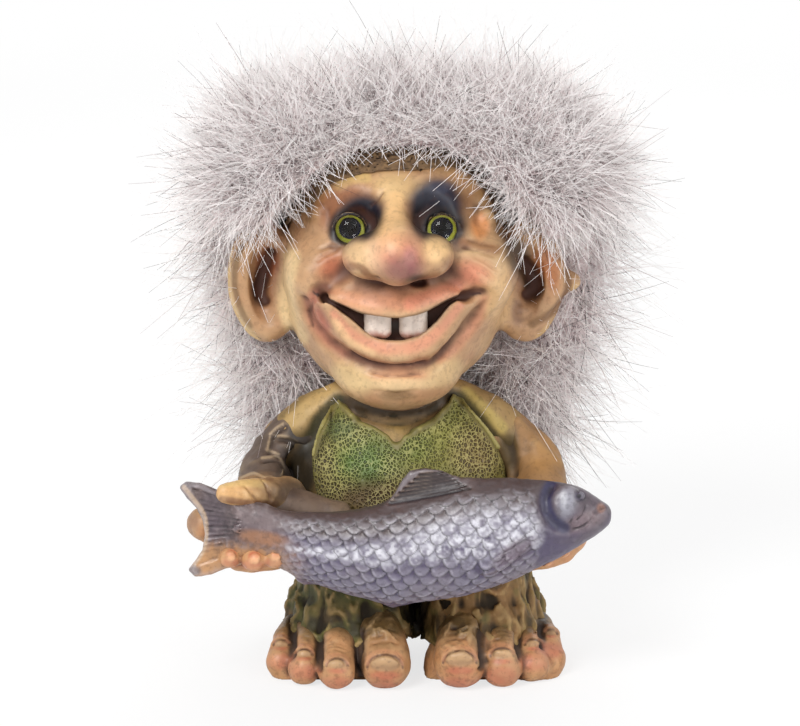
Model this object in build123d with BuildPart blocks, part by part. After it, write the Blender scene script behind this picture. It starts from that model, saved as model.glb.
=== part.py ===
from build123d import *
import os
from math import asin, cos, degrees, radians, sin

# A folk troll ornament: a painted cast figure with glass eyes and a fur wig, holding a fish.
# Millimetres. The figure stands on z = 0 and faces -Y. Right and left are the figure's own, so
# its right side is at -X.

sides = {"right": -1, "left": 1}

# Heights of the flat faces where one casting stands on the next
ankle_height = 12.5
waist_height = 31.0
neck_height = 61.5

# Clearances and working sizes that all pieces share
glue_gap = 0.06
soft_gap = 0.3
cut_overrun = 4.0
corner_share = 0.72  # how far out the corner points of an oval lie

# Head
head_x = -3.0
head_y = 1.0
head_height = 56.0
head_half_width = 24.4
head_front = 25.0
head_back = 24.0
# height, half width, front and back of each level of the head, from the neck joint to the crown
head_shares = (
    (0.000, 0.43, 0.62, 0.32),
    (0.060, 0.66, 0.87, 0.56),
    (0.160, 0.85, 1.00, 0.78),
    (0.300, 1.00, 1.03, 0.93),
    (0.440, 1.04, 1.00, 1.00),
    (0.580, 0.99, 0.93, 1.00),
    (0.700, 0.87, 0.88, 0.97),
    (0.800, 0.79, 0.80, 0.89),
    (0.880, 0.66, 0.66, 0.75),
    (0.940, 0.49, 0.48, 0.56),
    (0.980, 0.29, 0.28, 0.33),
    (1.000, 0.12, 0.12, 0.14),
)

# Nose: a bridge from the brow that swells to a ball, between two wide wings
nose_level_share = 0.62
nose_reach = 9.0
nose_radius = 4.9
brow_level_share = 0.775
brow_radius = 3.0
brow_sink = 1.4
wing_radius = 4.1
wing_spread = 6.8
wing_reach = 4.6
wing_drop = 1.0

# Cheeks and lips
cheek_level_share = 0.46
cheek_spread_share = 0.62
cheek_place_share = 0.56
cheek_radius = 8.8
upper_lip_level_share = 0.455
upper_lip_sink = 3.6
upper_lip_radii = (5.6, 4.4)
upper_lip_half_width = 8.4
upper_lip_rise = 1.2
lower_lip_level_share = 0.235
lower_lip_sink = 1.4
lower_lip_radii = (3.2, 2.2)
lower_lip_half_width = 12.4
lower_lip_rise = 4.6
lip_setback_share = 0.36  # how far each lip's end lies back, as a share of its half width

# Ears: cupped to the front and swept back
ear_level_share = 0.40
ear_place_share = 1.17
ear_half_width = 9.2
ear_half_height = 13.6
ear_half_thickness = 4.4
ear_sweep = 30.0
ear_rim = 2.6
ear_hollow_depth = 4.2
ear_hollow_inset = 3.0

# Eyes: each is a glass dome over a painted ring and a pupil, glued in a seat in the eye socket
eye_level_share = 0.67
eye_spacing = 19.4
eye_radius = 3.1
eye_sink = 9.0
glass_edge = 1.2
glass_dome = 1.8
iris_thickness = 0.6
pupil_radius = 1.9
socket_radius = 6.9
socket_depth = 5.0
socket_lift = 2.0

# Mouth, and the two front teeth in it
mouth_half_width = 16.4
mouth_corner_share = 0.43
mouth_top_share = 0.372
mouth_bottom_share = 0.275
mouth_sink = 4.6
tooth_width = 5.9
tooth_parting = 1.3
tooth_thickness = 2.3
tooth_round = 0.4

# Torso under the vest, with the neck and the spigot that fits the head's socket
body_x = -2.0
body_y = -1.0
torso_half_width = 24.5
torso_front = 20.0
torso_back = 19.0
# height, half width, front and back of each level of the torso, from the waist to the neck
torso_shares = (
    (0.00, 0.96, 0.94, 0.93),
    (0.24, 1.00, 1.00, 1.00),
    (0.50, 0.96, 0.90, 0.97),
    (0.72, 0.84, 0.70, 0.82),
    (0.88, 0.62, 0.56, 0.62),
    (1.00, 0.47, 0.55, 0.52),
)
shoulder_radius = 5.2
shoulder_spread_share = 0.86
shoulder_level_share = 0.62
shoulder_root_radius = 4.8
shoulder_root_spread_share = 0.48
shoulder_root_level_share = 0.82
spigot_radius = 7.5
spigot_length = 9.0
spigot_setback = 4.0

# Vest, worn over the torso, with a scalloped neckline and wide armholes
vest_thickness = 0.9
neckline_half_width = 10.4
neckline_drop = 9.6
neckline_back_drop = 2.4
scallop_count = 3
scallop_depth = 1.0
# half width and height of three points on the edge of an armhole, from the strap down
armhole_shares = ((0.52, 1.04), (0.75, 0.74), (0.87, 0.48))

# Arms: a sleeve from the shoulder, then a bare forearm with its hand. The thumb of the right
# hand goes over the fish's thin tail, and that of the left stays behind its thick head.
sleeve_spread_share = 0.88
sleeve_level_share = 0.60
sleeve_radii = (7.0, 7.6, 7.2)
elbow_flare = 7.2
elbow_drop = 6.2
elbow_advance = 2.0
hem_place_share = 0.50
forearm_radius = 5.4
wrist_radius = 4.8
palm_radius = 5.6
palm_half_width = 3.2
palm_setback = 5.4
palm_rise = 0.6
finger_count = 4
finger_pitch = 4.3
finger_root_radius = 2.7
finger_tip_radius = 2.3
finger_length = 8.6
finger_rise = 2.0
finger_drop = 0.8
thumb_over_shares = {"right": 1, "left": 0}
thumb_root_share = 0.35
thumb_knuckle_share = 0.6
thumb_root_radius = 4.2
thumb_knuckle_radius = 3.3
thumb_tip_radius = 3.0

# Fish, held across the belly with its tail to the figure's right
fish_centre_x = 3.0
fish_level = 34.5
fish_body_length = 79.0
fish_half_height = 12.5
fish_half_thickness = 7.4
# place along the body, height of the middle, half height and half thickness, from tail to snout
fish_shares = (
    (0.000, 0.24, 0.40, 0.30),
    (0.150, -0.08, 0.55, 0.58),
    (0.280, -0.22, 0.70, 0.80),
    (0.410, -0.26, 0.88, 0.96),
    (0.600, 0.00, 1.00, 1.00),
    (0.735, 0.18, 0.88, 0.98),
    (0.835, 0.31, 0.71, 0.88),
    (0.930, 0.43, 0.50, 0.66),
    (1.000, 0.50, 0.24, 0.32),
)
# places along the fish of what the hands hold and what stands on it
hand_shares = {"right": 0.045, "left": 0.83}
back_fin_share = 0.52
belly_fin_shares = (0.20, 0.43)
side_fin_share = 0.72
gill_centre_share = 0.955
fish_eye_share = 0.895

# Fins, each a flat plate in the middle of the fish
fin_thickness = 2.0
fin_root = 4.5
tail_fin_length = 12.8
tail_fin_half_height = 9.4
# corners of the tail fin, along and across it
tail_fin_shares = ((0.35, 0.40), (-1.00, 0.92), (-0.68, -0.12), (-0.80, -1.08), (0.35, -0.40))
back_fin_length = 14.0
back_fin_height = 4.6
belly_fin_length = 6.0
belly_fin_height = 2.2
side_fin_length = 8.0
side_fin_root_radius = 1.5
side_fin_tip_radius = 1.0
side_fin_fall = 4.0
side_fin_sink = 1.2
gill_radius = 8.6
gill_groove = 0.9
gill_depth = 1.6
fish_eye_radius = 1.5
fish_eye_rise = 3.8
fish_mouth_length = 3.6
fish_mouth_height = 0.6

# Trousers: hips on two legs. The figure stands a little to its left of its body's middle.
stance_x = 1.3
hip_stance_share = 0.4
hip_half_width = 23.9
hip_front = 18.4
hip_back = 17.4
hip_level_share = 0.42
# height, half width, front and back of each level of the hips, from the crotch to the waist
hip_shares = (
    (0.00, 0.95, 0.94, 0.94),
    (0.55, 1.00, 1.00, 1.00),
    (1.00, 0.97, 0.98, 0.98),
)
leg_spacing = 27.6
leg_half_width = 12.6
leg_front = 16.6
leg_back = 14.6
# height, half width, front and back of each level of a leg, from the hem up
leg_shares = (
    (0.00, 1.05, 1.04, 1.02),
    (0.45, 0.97, 0.98, 0.98),
    (1.00, 0.86, 0.95, 0.96),
)

# Feet, each with four toes on a flat sole
foot_spread = 16.5
heel_y = 20.0
foot_length = 50.0
foot_half_width = 14.6
foot_height = 14.0
# place from the heel, half width and height of each section of a foot
foot_shares = (
    (0.00, 0.44, 0.50),
    (0.12, 0.66, 0.92),
    (0.32, 0.76, 1.08),
    (0.54, 0.88, 0.98),
    (0.70, 0.98, 0.68),
    (0.80, 0.90, 0.50),
)
# place across the foot, radius and tip of each toe, from the great toe outward
toe_shares = (
    (-0.58, 0.38, 1.00),
    (0.07, 0.30, 0.97),
    (0.54, 0.25, 0.87),
    (0.86, 0.23, 0.75),
)
toe_length = 11.0
toe_root_share = 0.86
toe_spread_share = 0.66  # how far out the root of a toe lies, as a share of its tip's place
sole_cut = 0.5

# Wig: a hide cap glued on the scalp, and the fur that stands on it
hide_thickness = 0.8
hide_front_share = 0.88
hide_back_share = 0.30
fur_lean = 3.0
fur_crown_radius = 28.0
fur_crown_half_width = 21.4
fur_crown_share = 0.78
fur_crown_setback = 4.0
fur_side_radius = 22.0
fur_side_spread = 27.4
fur_side_share = 0.60
fur_side_setback = 9.0
fur_hem_radius = 15.0
fur_hem_spread = 22.0
fur_hem_drop = 10.0
fur_hem_setback = 20.5
fur_nape_radius = 16.5
face_window_radius = 26.0
face_window_share = 0.47
ear_window_share = 0.62
ear_window_half_width = 70.0
ear_window_setback = 1.0


def between(low, high, share):
    return low + (high - low) * share


def table_row(shares, place):
    # the row of a table of shares at a place that may lie between two of its rows
    for lower, upper in zip(shares, shares[1:]):
        if place <= upper[0]:
            share = (place - lower[0]) / (upper[0] - lower[0])
            return [between(low, high, share) for low, high in zip(lower, upper)]
    return list(shares[-1])


def oval(plane, half_width, front, back):
    # a closed smooth outline with its own reach to the front and to the back
    corner_width = corner_share * half_width
    with BuildSketch(plane) as outline:
        with BuildLine():
            Spline(
                (0, -front),
                (corner_width, -corner_share * front),
                (half_width, 0),
                (corner_width, corner_share * back),
                (0, back),
                (-corner_width, corner_share * back),
                (-half_width, 0),
                (-corner_width, -corner_share * front),
                periodic=True,
            )
        make_face()
    return outline.sketch


def stacked_ovals(shares, centre, height, half_width, front, back, grow=0):
    # a loft through level ovals that a table of shares sizes, grown evenly where asked
    levels = []
    for height_share, width_share, front_share, back_share in shares:
        plane = Plane(origin=centre + Vector(0, 0, height_share * height))
        levels.append(
            oval(
                plane,
                width_share * half_width + grow,
                front_share * front + grow,
                back_share * back + grow,
            )
        )
    with BuildPart() as stack:
        loft(levels)
    return stack.part


def egg(centre, radii, turn=(0, 0, 0), grow=0):
    # an ellipsoid with three radii, turned about X, Y and Z, made of two half shells
    half = Sphere(1, arc_size3=180, align=None, mode=Mode.PRIVATE)
    size = tuple(radius + grow for radius in radii)
    other_half = Location((0, 0, 0), (0, 0, 180)) * half
    return Location(centre, turn) * (half.scale(size) + other_half.scale(size))


def ball(centre, radius, turn=0):
    return Location(centre, (0, 0, turn)) * Sphere(radius, mode=Mode.PRIVATE)


def taper(start, end, start_radius, end_radius):
    # a round bar with ball ends of two sizes, whose flank is tangent to both balls
    run = end - start
    lean = asin((start_radius - end_radius) / run.length)
    flank = Vector(sin(lean), cos(lean), 0)
    start_edge = flank * start_radius
    end_edge = flank * end_radius + Vector(run.length, 0, 0)
    start_middle = Vector(-sin(radians(45) - lean / 2), cos(radians(45) - lean / 2), 0)
    end_middle = Vector(cos(radians(45) - lean / 2), sin(radians(45) - lean / 2), 0)
    side_way = run.cross(Vector(0, 0, 1)) if run.cross(Vector(0, 0, 1)).length else Vector(1, 0, 0)
    with BuildPart() as bar:
        with BuildSketch(Plane(origin=start, x_dir=run, z_dir=side_way)):
            with BuildLine():
                ThreePointArc((-start_radius, 0), start_middle * start_radius, start_edge)
                Line(start_edge, end_edge)
                ThreePointArc(
                    end_edge,
                    end_middle * end_radius + Vector(run.length, 0, 0),
                    (run.length + end_radius, 0),
                )
                Line((run.length + end_radius, 0), (-start_radius, 0))
            make_face()
        revolve(axis=Axis(start, run))
    return bar.part


def limb(points, radii):
    # a round tube through circles along a path, square to the path at both ends
    circles = []
    last = len(points) - 1
    for index, radius in enumerate(radii):
        direction = points[min(index + 1, last)] - points[max(index - 1, 0)]
        with BuildSketch(Plane(origin=points[index], z_dir=direction)) as ring:
            Circle(radius)
        circles.append(ring.sketch)
    with BuildPart() as tube:
        loft(circles)
    return tube.part


def front_plane(x, y, z):
    # a plane that faces the front, with its own x to +X and its own y up
    return Plane(origin=(x, y, z), x_dir=(1, 0, 0), z_dir=(0, -1, 0))


def head_level(share):
    return neck_height + share * head_height


def face_y(share):
    # how far forward the middle of the bare face stands at a level
    return head_y - table_row(head_shares, share)[2] * head_front


def torso_level(share):
    return between(waist_height, neck_height, share)


def head_form(grow=0):
    centre = Vector(head_x, head_y, neck_height)
    return stacked_ovals(
        head_shares, centre, head_height, head_half_width, head_front, head_back, grow
    )


def torso_form(grow=0):
    centre = Vector(body_x, body_y, waist_height)
    height = neck_height - waist_height
    return stacked_ovals(
        torso_shares, centre, height, torso_half_width, torso_front, torso_back, grow
    )


def ear_place(side):
    x = head_x + side * ear_place_share * head_half_width
    return Location((x, head_y, head_level(ear_level_share)), (0, 0, side * ear_sweep))


def ear_form(side, grow=0):
    radii = (ear_half_width, ear_half_thickness, ear_half_height)
    return ear_place(side) * egg((0, 0, 0), radii, grow=grow)


def mouth_outline(inset=0):
    # the crescent between the lips, drawn in evenly at its upper and lower edges
    corner = head_level(mouth_corner_share)
    top = head_level(mouth_top_share) - inset
    bottom = head_level(mouth_bottom_share) + inset
    with BuildSketch(front_plane(head_x, head_y - head_front + mouth_sink, 0)) as outline:
        with BuildLine():
            ThreePointArc((-mouth_half_width, corner), (0, top), (mouth_half_width, corner))
            ThreePointArc((mouth_half_width, corner), (0, bottom), (-mouth_half_width, corner))
        make_face()
    return outline.sketch


def eye_seat(side):
    x = head_x + side * eye_spacing / 2
    return front_plane(x, head_y - head_front + eye_sink, head_level(eye_level_share))


os.makedirs("parts", exist_ok=True)


def keep(piece, name):
    piece.part.label = name
    export_step(piece.part, f"parts/{name}.step")
    print(f"{name}: {len(piece.part.solids())} solid, {piece.part.volume:.1f} mm3")


# Head, with what swells on it, what is cut into it and then the nose
with BuildPart() as head:
    add(head_form())
    for level_share, sink, radii, half_width, rise in (
        (
            upper_lip_level_share,
            upper_lip_sink,
            upper_lip_radii,
            upper_lip_half_width,
            upper_lip_rise,
        ),
        (
            lower_lip_level_share,
            lower_lip_sink,
            lower_lip_radii,
            lower_lip_half_width,
            lower_lip_rise,
        ),
    ):
        middle = Vector(head_x, face_y(level_share) + sink, head_level(level_share))
        for side in sides.values():
            reach = Vector(side * half_width, lip_setback_share * half_width, rise)
            add(taper(middle, middle + reach, *radii))
    for side in sides.values():
        cheek_x = head_x + side * cheek_spread_share * head_half_width
        cheek_y = head_y - cheek_place_share * head_front
        add(ball((cheek_x, cheek_y, head_level(cheek_level_share)), cheek_radius))
        # the ear and its hollow
        add(ear_form(side))
        hollow_radii = (ear_half_width - ear_rim, ear_hollow_depth, ear_half_height - ear_rim)
        hollow_centre = (-side * ear_hollow_inset, -ear_half_thickness, 0)
        hollow = ear_place(side) * egg(hollow_centre, hollow_radii)
        add(hollow, mode=Mode.SUBTRACT)
        # the eye socket, and the round seat of the glass eye in it
        seat = eye_seat(side)
        socket_y = face_y(eye_level_share) - socket_radius + socket_depth
        socket_centre = (seat.origin.X, socket_y, seat.origin.Z + socket_lift)
        add(ball(socket_centre, socket_radius), mode=Mode.SUBTRACT)
        with BuildSketch(seat):
            Circle(eye_radius + glue_gap)
        extrude(amount=iris_thickness + glass_edge + glass_dome, mode=Mode.SUBTRACT)
    extrude(mouth_outline(), amount=head_front, mode=Mode.SUBTRACT)
    # the socket for the neck's spigot
    with BuildSketch(Plane(origin=(head_x, head_y - spigot_setback, neck_height))):
        Circle(spigot_radius + glue_gap)
    extrude(amount=spigot_length + glue_gap, mode=Mode.SUBTRACT)
    # the nose
    nose_face_y = face_y(nose_level_share)
    brow = Vector(head_x, face_y(brow_level_share) + brow_sink, head_level(brow_level_share))
    nose_tip = Vector(head_x, nose_face_y - nose_reach, head_level(nose_level_share))
    add(taper(brow, nose_tip, brow_radius, nose_radius))
    for side in sides.values():
        wing = (head_x + side * wing_spread, nose_face_y - wing_reach, nose_tip.Z - wing_drop)
        add(ball(wing, wing_radius, turn=0 if side > 0 else 180))
keep(head, "head")

for name, side in sides.items():
    seat = eye_seat(side)
    with BuildPart() as iris:
        with BuildSketch(seat):
            Circle(eye_radius)
            Circle(pupil_radius, mode=Mode.SUBTRACT)
        extrude(amount=iris_thickness)
    keep(iris, f"{name}_eye_iris")

    with BuildPart() as pupil:
        with BuildSketch(seat):
            Circle(pupil_radius)
        extrude(amount=iris_thickness)
    keep(pupil, f"{name}_eye_pupil")

    # the dome is part of a ball that meets the rim of the glass
    dome_radius = (eye_radius**2 + glass_dome**2) / (2 * glass_dome)
    dome_angle = degrees(asin(eye_radius / dome_radius))
    glass_base = seat.offset(iris_thickness)
    with BuildPart() as glass:
        with BuildSketch(Plane(origin=glass_base.origin, x_dir=(1, 0, 0), z_dir=(0, 0, 1))):
            with BuildLine():
                Line((0, -glass_edge - glass_dome), (0, 0))
                Line((0, 0), (eye_radius, 0))
                Line((eye_radius, 0), (eye_radius, -glass_edge))
                CenterArc(
                    (0, dome_radius - glass_edge - glass_dome),
                    dome_radius,
                    start_angle=-90,
                    arc_size=dome_angle,
                )
            make_face()
        revolve(axis=Axis(glass_base.origin, (0, 1, 0)))
    keep(glass, f"{name}_eye_glass")

    # each tooth fills its width of the mouth, from lip to lip
    with BuildPart() as tooth:
        tooth_x = head_x + side * (tooth_parting + tooth_width) / 2
        extrude(mouth_outline(glue_gap), amount=tooth_thickness)
        with BuildSketch(front_plane(tooth_x, head_y - head_front + mouth_sink, neck_height)):
            Rectangle(tooth_width, 2 * head_height)
        extrude(amount=tooth_thickness, mode=Mode.INTERSECT)
        fillet(tooth.edges().group_by(Axis.Y)[0], radius=tooth_round)
    keep(tooth, f"{name}_tooth")

# Torso, with its bare shoulders
with BuildPart() as torso:
    add(torso_form())
    for side in sides.values():
        root_x = body_x + side * shoulder_root_spread_share * torso_half_width
        end_x = body_x + side * shoulder_spread_share * torso_half_width
        shoulder_root = Vector(root_x, body_y, torso_level(shoulder_root_level_share))
        shoulder_end = Vector(end_x, body_y, torso_level(shoulder_level_share))
        add(taper(shoulder_root, shoulder_end, shoulder_root_radius, shoulder_radius))
    with BuildSketch(Plane(origin=(head_x, head_y - spigot_setback, neck_height))):
        Circle(spigot_radius)
    extrude(amount=spigot_length)
keep(torso, "torso")

# Vest: the space round the torso, with the neckline and the armholes cut through it
with BuildPart() as vest:
    add(torso_form(vest_thickness))
    neck_plane = front_plane(head_x, body_y, neck_height)
    with BuildSketch(neck_plane):
        with BuildLine():
            for side in sides.values():
                for step in range(scallop_count):
                    start = step / scallop_count
                    end = (step + 1) / scallop_count
                    SagittaArc(
                        (side * start * neckline_half_width, (start - 1) * neckline_drop),
                        (side * end * neckline_half_width, (end - 1) * neckline_drop),
                        -side * scallop_depth,
                    )
                Line(
                    (side * neckline_half_width, 0),
                    (side * neckline_half_width, cut_overrun),
                )
            Line((-neckline_half_width, cut_overrun), (neckline_half_width, cut_overrun))
        make_face()
    extrude(amount=torso_front + cut_overrun, mode=Mode.SUBTRACT)
    with BuildSketch(neck_plane):
        Rectangle(2 * torso_half_width, 2 * neckline_back_drop)
    extrude(amount=-torso_back - cut_overrun, mode=Mode.SUBTRACT)
    for side in sides.values():
        edge = [
            (side * width_share * torso_half_width, torso_level(level_share))
            for width_share, level_share in armhole_shares
        ]
        far_x = side * (torso_half_width + cut_overrun)
        with BuildSketch(front_plane(body_x, body_y, 0)):
            with BuildLine():
                ThreePointArc(*edge)
                Polyline(edge[-1], (far_x, edge[-1][1]), (far_x, edge[0][1]), edge[0])
            make_face()
        extrude(amount=torso_front + cut_overrun, both=True, mode=Mode.SUBTRACT)
    add(torso.part, mode=Mode.SUBTRACT)
keep(vest, "vest")


def fish_place(share):
    # the middle, half height and half thickness of the fish at a place along it
    _, rise_share, height_share, thickness_share = table_row(fish_shares, share)
    middle = Vector(
        fish_centre_x + (share - 0.5) * fish_body_length,
        fish_y,
        fish_level + rise_share * fish_half_height,
    )
    return middle, height_share * fish_half_height, thickness_share * fish_half_thickness


# Fish, close in front of the vest
fish_y = body_y - torso_front - vest_thickness - soft_gap - fish_half_thickness
with BuildPart() as fish:
    rings = []
    for row in fish_shares:
        middle, half_height, half_thickness = fish_place(row[0])
        ring_plane = Plane(origin=middle, x_dir=(0, 1, 0), z_dir=(1, 0, 0))
        rings.append(oval(ring_plane, half_thickness, half_height, half_height))
    loft(rings)
    tail, _, _ = fish_place(0)
    with BuildSketch(front_plane(*tail)):
        with BuildLine():
            corners = [
                (along * tail_fin_length, across * tail_fin_half_height)
                for along, across in tail_fin_shares
            ]
            Polyline(*corners, close=True)
        make_face()
    extrude(amount=fin_thickness / 2, both=True)
    # the fin on the back rises and then falls away towards the head
    fin_half_share = back_fin_length / fish_body_length / 2
    fin_start, start_half_height, _ = fish_place(back_fin_share - fin_half_share)
    fin_end, end_half_height, _ = fish_place(back_fin_share + fin_half_share)
    with BuildSketch(front_plane(0, fish_y, 0)):
        with BuildLine():
            start_z = fin_start.Z + start_half_height
            end_z = fin_end.Z + end_half_height
            Polyline(
                (fin_start.X, start_z - fin_root),
                (fin_start.X, start_z + back_fin_height),
                ((fin_start.X + fin_end.X) / 2, (start_z + end_z) / 2 + back_fin_height),
                (fin_end.X, end_z),
                (fin_end.X, end_z - fin_root),
                close=True,
            )
        make_face()
    extrude(amount=fin_thickness / 2, both=True)
    for share in belly_fin_shares:
        fin_middle, fin_half_height, _ = fish_place(share)
        root_z = fin_middle.Z - fin_half_height
        with BuildSketch(front_plane(fin_middle.X, fish_y, root_z)):
            with BuildLine():
                Polyline(
                    (-belly_fin_length / 2, -belly_fin_height),
                    (belly_fin_length / 2, fin_root / 2),
                    (-belly_fin_length / 2, fin_root),
                    close=True,
                )
            make_face()
        extrude(amount=fin_thickness / 2, both=True)
    # the side fin lies along the flank behind the gill
    flank, flank_half_height, flank_half_thickness = fish_place(side_fin_share)
    side_fin_root = flank - Vector(0, flank_half_thickness - side_fin_sink, flank_half_height / 2)
    side_fin_tip = side_fin_root - Vector(side_fin_length, 0, side_fin_fall)
    add(taper(side_fin_root, side_fin_tip, side_fin_root_radius, side_fin_tip_radius))
    # the gill cover's edge, a round groove that runs out where the flank curves away
    gill_centre, _, _ = fish_place(gill_centre_share)
    gill_bed_y = fish_y - fish_half_thickness + gill_depth
    with BuildSketch(front_plane(gill_centre.X, gill_bed_y, gill_centre.Z)):
        Circle(gill_radius)
        Circle(gill_radius - gill_groove, mode=Mode.SUBTRACT)
    extrude(amount=fish_half_thickness, mode=Mode.SUBTRACT)
    # a round eye on each flank, and the mouth cut across the snout
    brow_place, brow_half_height, brow_half_thickness = fish_place(fish_eye_share)
    eye_depth = brow_half_thickness * cos(asin(fish_eye_rise / brow_half_height))
    for side in sides.values():
        fish_eye = brow_place + Vector(0, side * eye_depth, fish_eye_rise)
        add(ball(fish_eye, fish_eye_radius))
    snout, _, _ = fish_place(1)
    with BuildSketch(front_plane(snout.X, fish_y, snout.Z)):
        Rectangle(2 * fish_mouth_length, fish_mouth_height)
    extrude(amount=fish_half_thickness, both=True, mode=Mode.SUBTRACT)
keep(fish, "fish")

# Sleeves and hands
for name, side in sides.items():
    held, held_half_height, held_half_thickness = fish_place(hand_shares[name])
    shoulder = Vector(
        body_x + side * sleeve_spread_share * torso_half_width,
        body_y,
        torso_level(sleeve_level_share),
    )
    elbow = shoulder + Vector(side * elbow_flare, -elbow_advance, -elbow_drop)
    palm = Vector(held.X, fish_y + palm_setback, held.Z - held_half_height + palm_rise)
    hem = elbow + (palm - elbow) * hem_place_share
    with BuildPart() as sleeve:
        add(limb([shoulder, elbow, hem], sleeve_radii))
        add(torso.part, mode=Mode.SUBTRACT)
        add(vest.part, mode=Mode.SUBTRACT)
    keep(sleeve, f"{name}_sleeve")

    # the forearm starts square on the hem, and the fish lies in the fingers
    with BuildPart() as hand:
        add(limb([hem, palm], [forearm_radius, wrist_radius]))
        palm_reach = Vector(palm_half_width, 0, 0)
        add(taper(palm - palm_reach, palm + palm_reach, palm_radius, palm_radius))
        for finger in range(finger_count):
            finger_x = held.X + (finger - (finger_count - 1) / 2) * finger_pitch
            finger_z = held.Z - held_half_height - finger_drop
            finger_root = Vector(finger_x, fish_y + palm_radius / 2, finger_z)
            finger_tip = finger_root + Vector(0, -finger_length, finger_rise)
            add(taper(finger_root, finger_tip, finger_root_radius, finger_tip_radius))
        over = thumb_over_shares[name]
        thumb_root = hem + (palm - hem) * thumb_root_share
        thumb_tip = Vector(
            held.X + side * thumb_root_radius,
            fish_y + between(held_half_thickness + thumb_tip_radius, 0, over),
            held.Z + between(0, held_half_height + thumb_tip_radius / 2, over),
        )
        thumb_knuckle = Vector(
            between(thumb_root.X, thumb_tip.X, thumb_knuckle_share),
            fish_y + held_half_thickness + thumb_knuckle_radius,
            between(thumb_root.Z, thumb_tip.Z, thumb_knuckle_share),
        )
        add(taper(thumb_root, thumb_knuckle, thumb_root_radius, thumb_knuckle_radius))
        add(taper(thumb_knuckle, thumb_tip, thumb_knuckle_radius, thumb_tip_radius))
        add(fish.part, mode=Mode.SUBTRACT)
    keep(hand, f"{name}_hand")

# Trousers
hip_base = between(ankle_height, waist_height, hip_level_share)
with BuildPart() as trousers:
    hip_centre = Vector(between(body_x, stance_x, hip_stance_share), body_y, hip_base)
    hip_height = waist_height - hip_base
    add(stacked_ovals(hip_shares, hip_centre, hip_height, hip_half_width, hip_front, hip_back))
    for side in sides.values():
        leg_centre = Vector(stance_x + side * leg_spacing / 2, body_y, ankle_height)
        leg_height = hip_base + hip_height / 2 - ankle_height
        add(stacked_ovals(leg_shares, leg_centre, leg_height, leg_half_width, leg_front, leg_back))
keep(trousers, "trousers")

# Feet
for name, side in sides.items():
    foot_x = stance_x + side * foot_spread
    with BuildPart() as foot:
        sections = []
        for place_share, width_share, height_share in foot_shares:
            half_width = width_share * foot_half_width
            with BuildSketch(front_plane(foot_x, heel_y - place_share * foot_length, 0)) as section:
                with BuildLine():
                    Line((-half_width, 0), (half_width, 0))
                    ThreePointArc((half_width, 0), (0, height_share * foot_height), (-half_width, 0))
                make_face()
            sections.append(section.sketch)
        loft(sections)
        for place_share, radius_share, tip_share in toe_shares:
            toe_radius = radius_share * foot_half_width
            toe_x = foot_x + side * place_share * foot_half_width
            toe_tip_y = heel_y - tip_share * foot_length + toe_radius
            toe_tip = Vector(toe_x, toe_tip_y, toe_radius - sole_cut)
            toe_root_x = between(foot_x, toe_x, toe_spread_share)
            toe_root = Vector(toe_root_x, toe_tip.Y + toe_length, toe_tip.Z)
            add(taper(toe_root, toe_tip, toe_root_share * toe_radius, toe_radius))
        split(bisect_by=Plane.XY, keep=Keep.TOP)
        split(bisect_by=Plane.XY.offset(ankle_height), keep=Keep.BOTTOM)
    keep(foot, f"{name}_foot")

# Wig: the hide follows the skull above a line from the brow down to the nape
hide_front = head_level(hide_front_share)
hide_back = head_level(hide_back_share)
hide_far_y = head_front + head_back
with BuildPart() as wig_hide:
    add(head_form(hide_thickness))
    with BuildSketch(Plane(origin=(head_x, head_y, 0), x_dir=(0, 1, 0), z_dir=(1, 0, 0))):
        with BuildLine():
            slope = (hide_back - hide_front) / hide_far_y
            Polyline(
                (-head_front - hide_far_y, hide_front - slope * hide_far_y),
                (head_back + hide_far_y, hide_back + slope * hide_far_y),
                (head_back + hide_far_y, 0),
                (-head_front - hide_far_y, 0),
                close=True,
            )
        make_face()
    extrude(amount=2 * head_half_width, both=True, mode=Mode.SUBTRACT)
    add(head.part, mode=Mode.SUBTRACT)
keep(wig_hide, "wig_hide")

# Fur: its outer shape, less the head, the ears, the body and the open face
with BuildPart() as fur_wig:
    fur_x = head_x + fur_lean
    crown = Vector(fur_x, head_y + fur_crown_setback, head_level(fur_crown_share))
    crown_reach = Vector(fur_crown_half_width, 0, 0)
    add(taper(crown - crown_reach, crown + crown_reach, fur_crown_radius, fur_crown_radius))
    hem_middle = Vector(fur_x, head_y + fur_hem_setback, neck_height - fur_hem_drop)
    nape_top = Vector(fur_x, head_y + fur_side_setback, head_level(fur_side_share))
    add(taper(nape_top, hem_middle, fur_crown_radius, fur_nape_radius))
    for side in sides.values():
        side_top = nape_top + Vector(side * fur_side_spread, 0, 0)
        side_hem = hem_middle + Vector(side * fur_hem_spread, 0, 0)
        add(taper(side_top, side_hem, fur_side_radius, fur_hem_radius))
    # the open face, and the ears clear below the fringe
    with BuildSketch(front_plane(head_x, head_y, head_level(face_window_share))):
        Circle(face_window_radius)
    extrude(amount=2 * head_front, mode=Mode.SUBTRACT)
    with BuildSketch(front_plane(head_x, head_y + ear_window_setback, 0)):
        Rectangle(2 * ear_window_half_width, 2 * head_level(ear_window_share))
    extrude(amount=2 * head_front, mode=Mode.SUBTRACT)
    add(head_form(hide_thickness + soft_gap), mode=Mode.SUBTRACT)
    add(torso_form(vest_thickness + soft_gap), mode=Mode.SUBTRACT)
    for side in sides.values():
        add(ear_form(side, soft_gap), mode=Mode.SUBTRACT)
keep(fur_wig, "fur_wig")
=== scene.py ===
import itertools
import math

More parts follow.
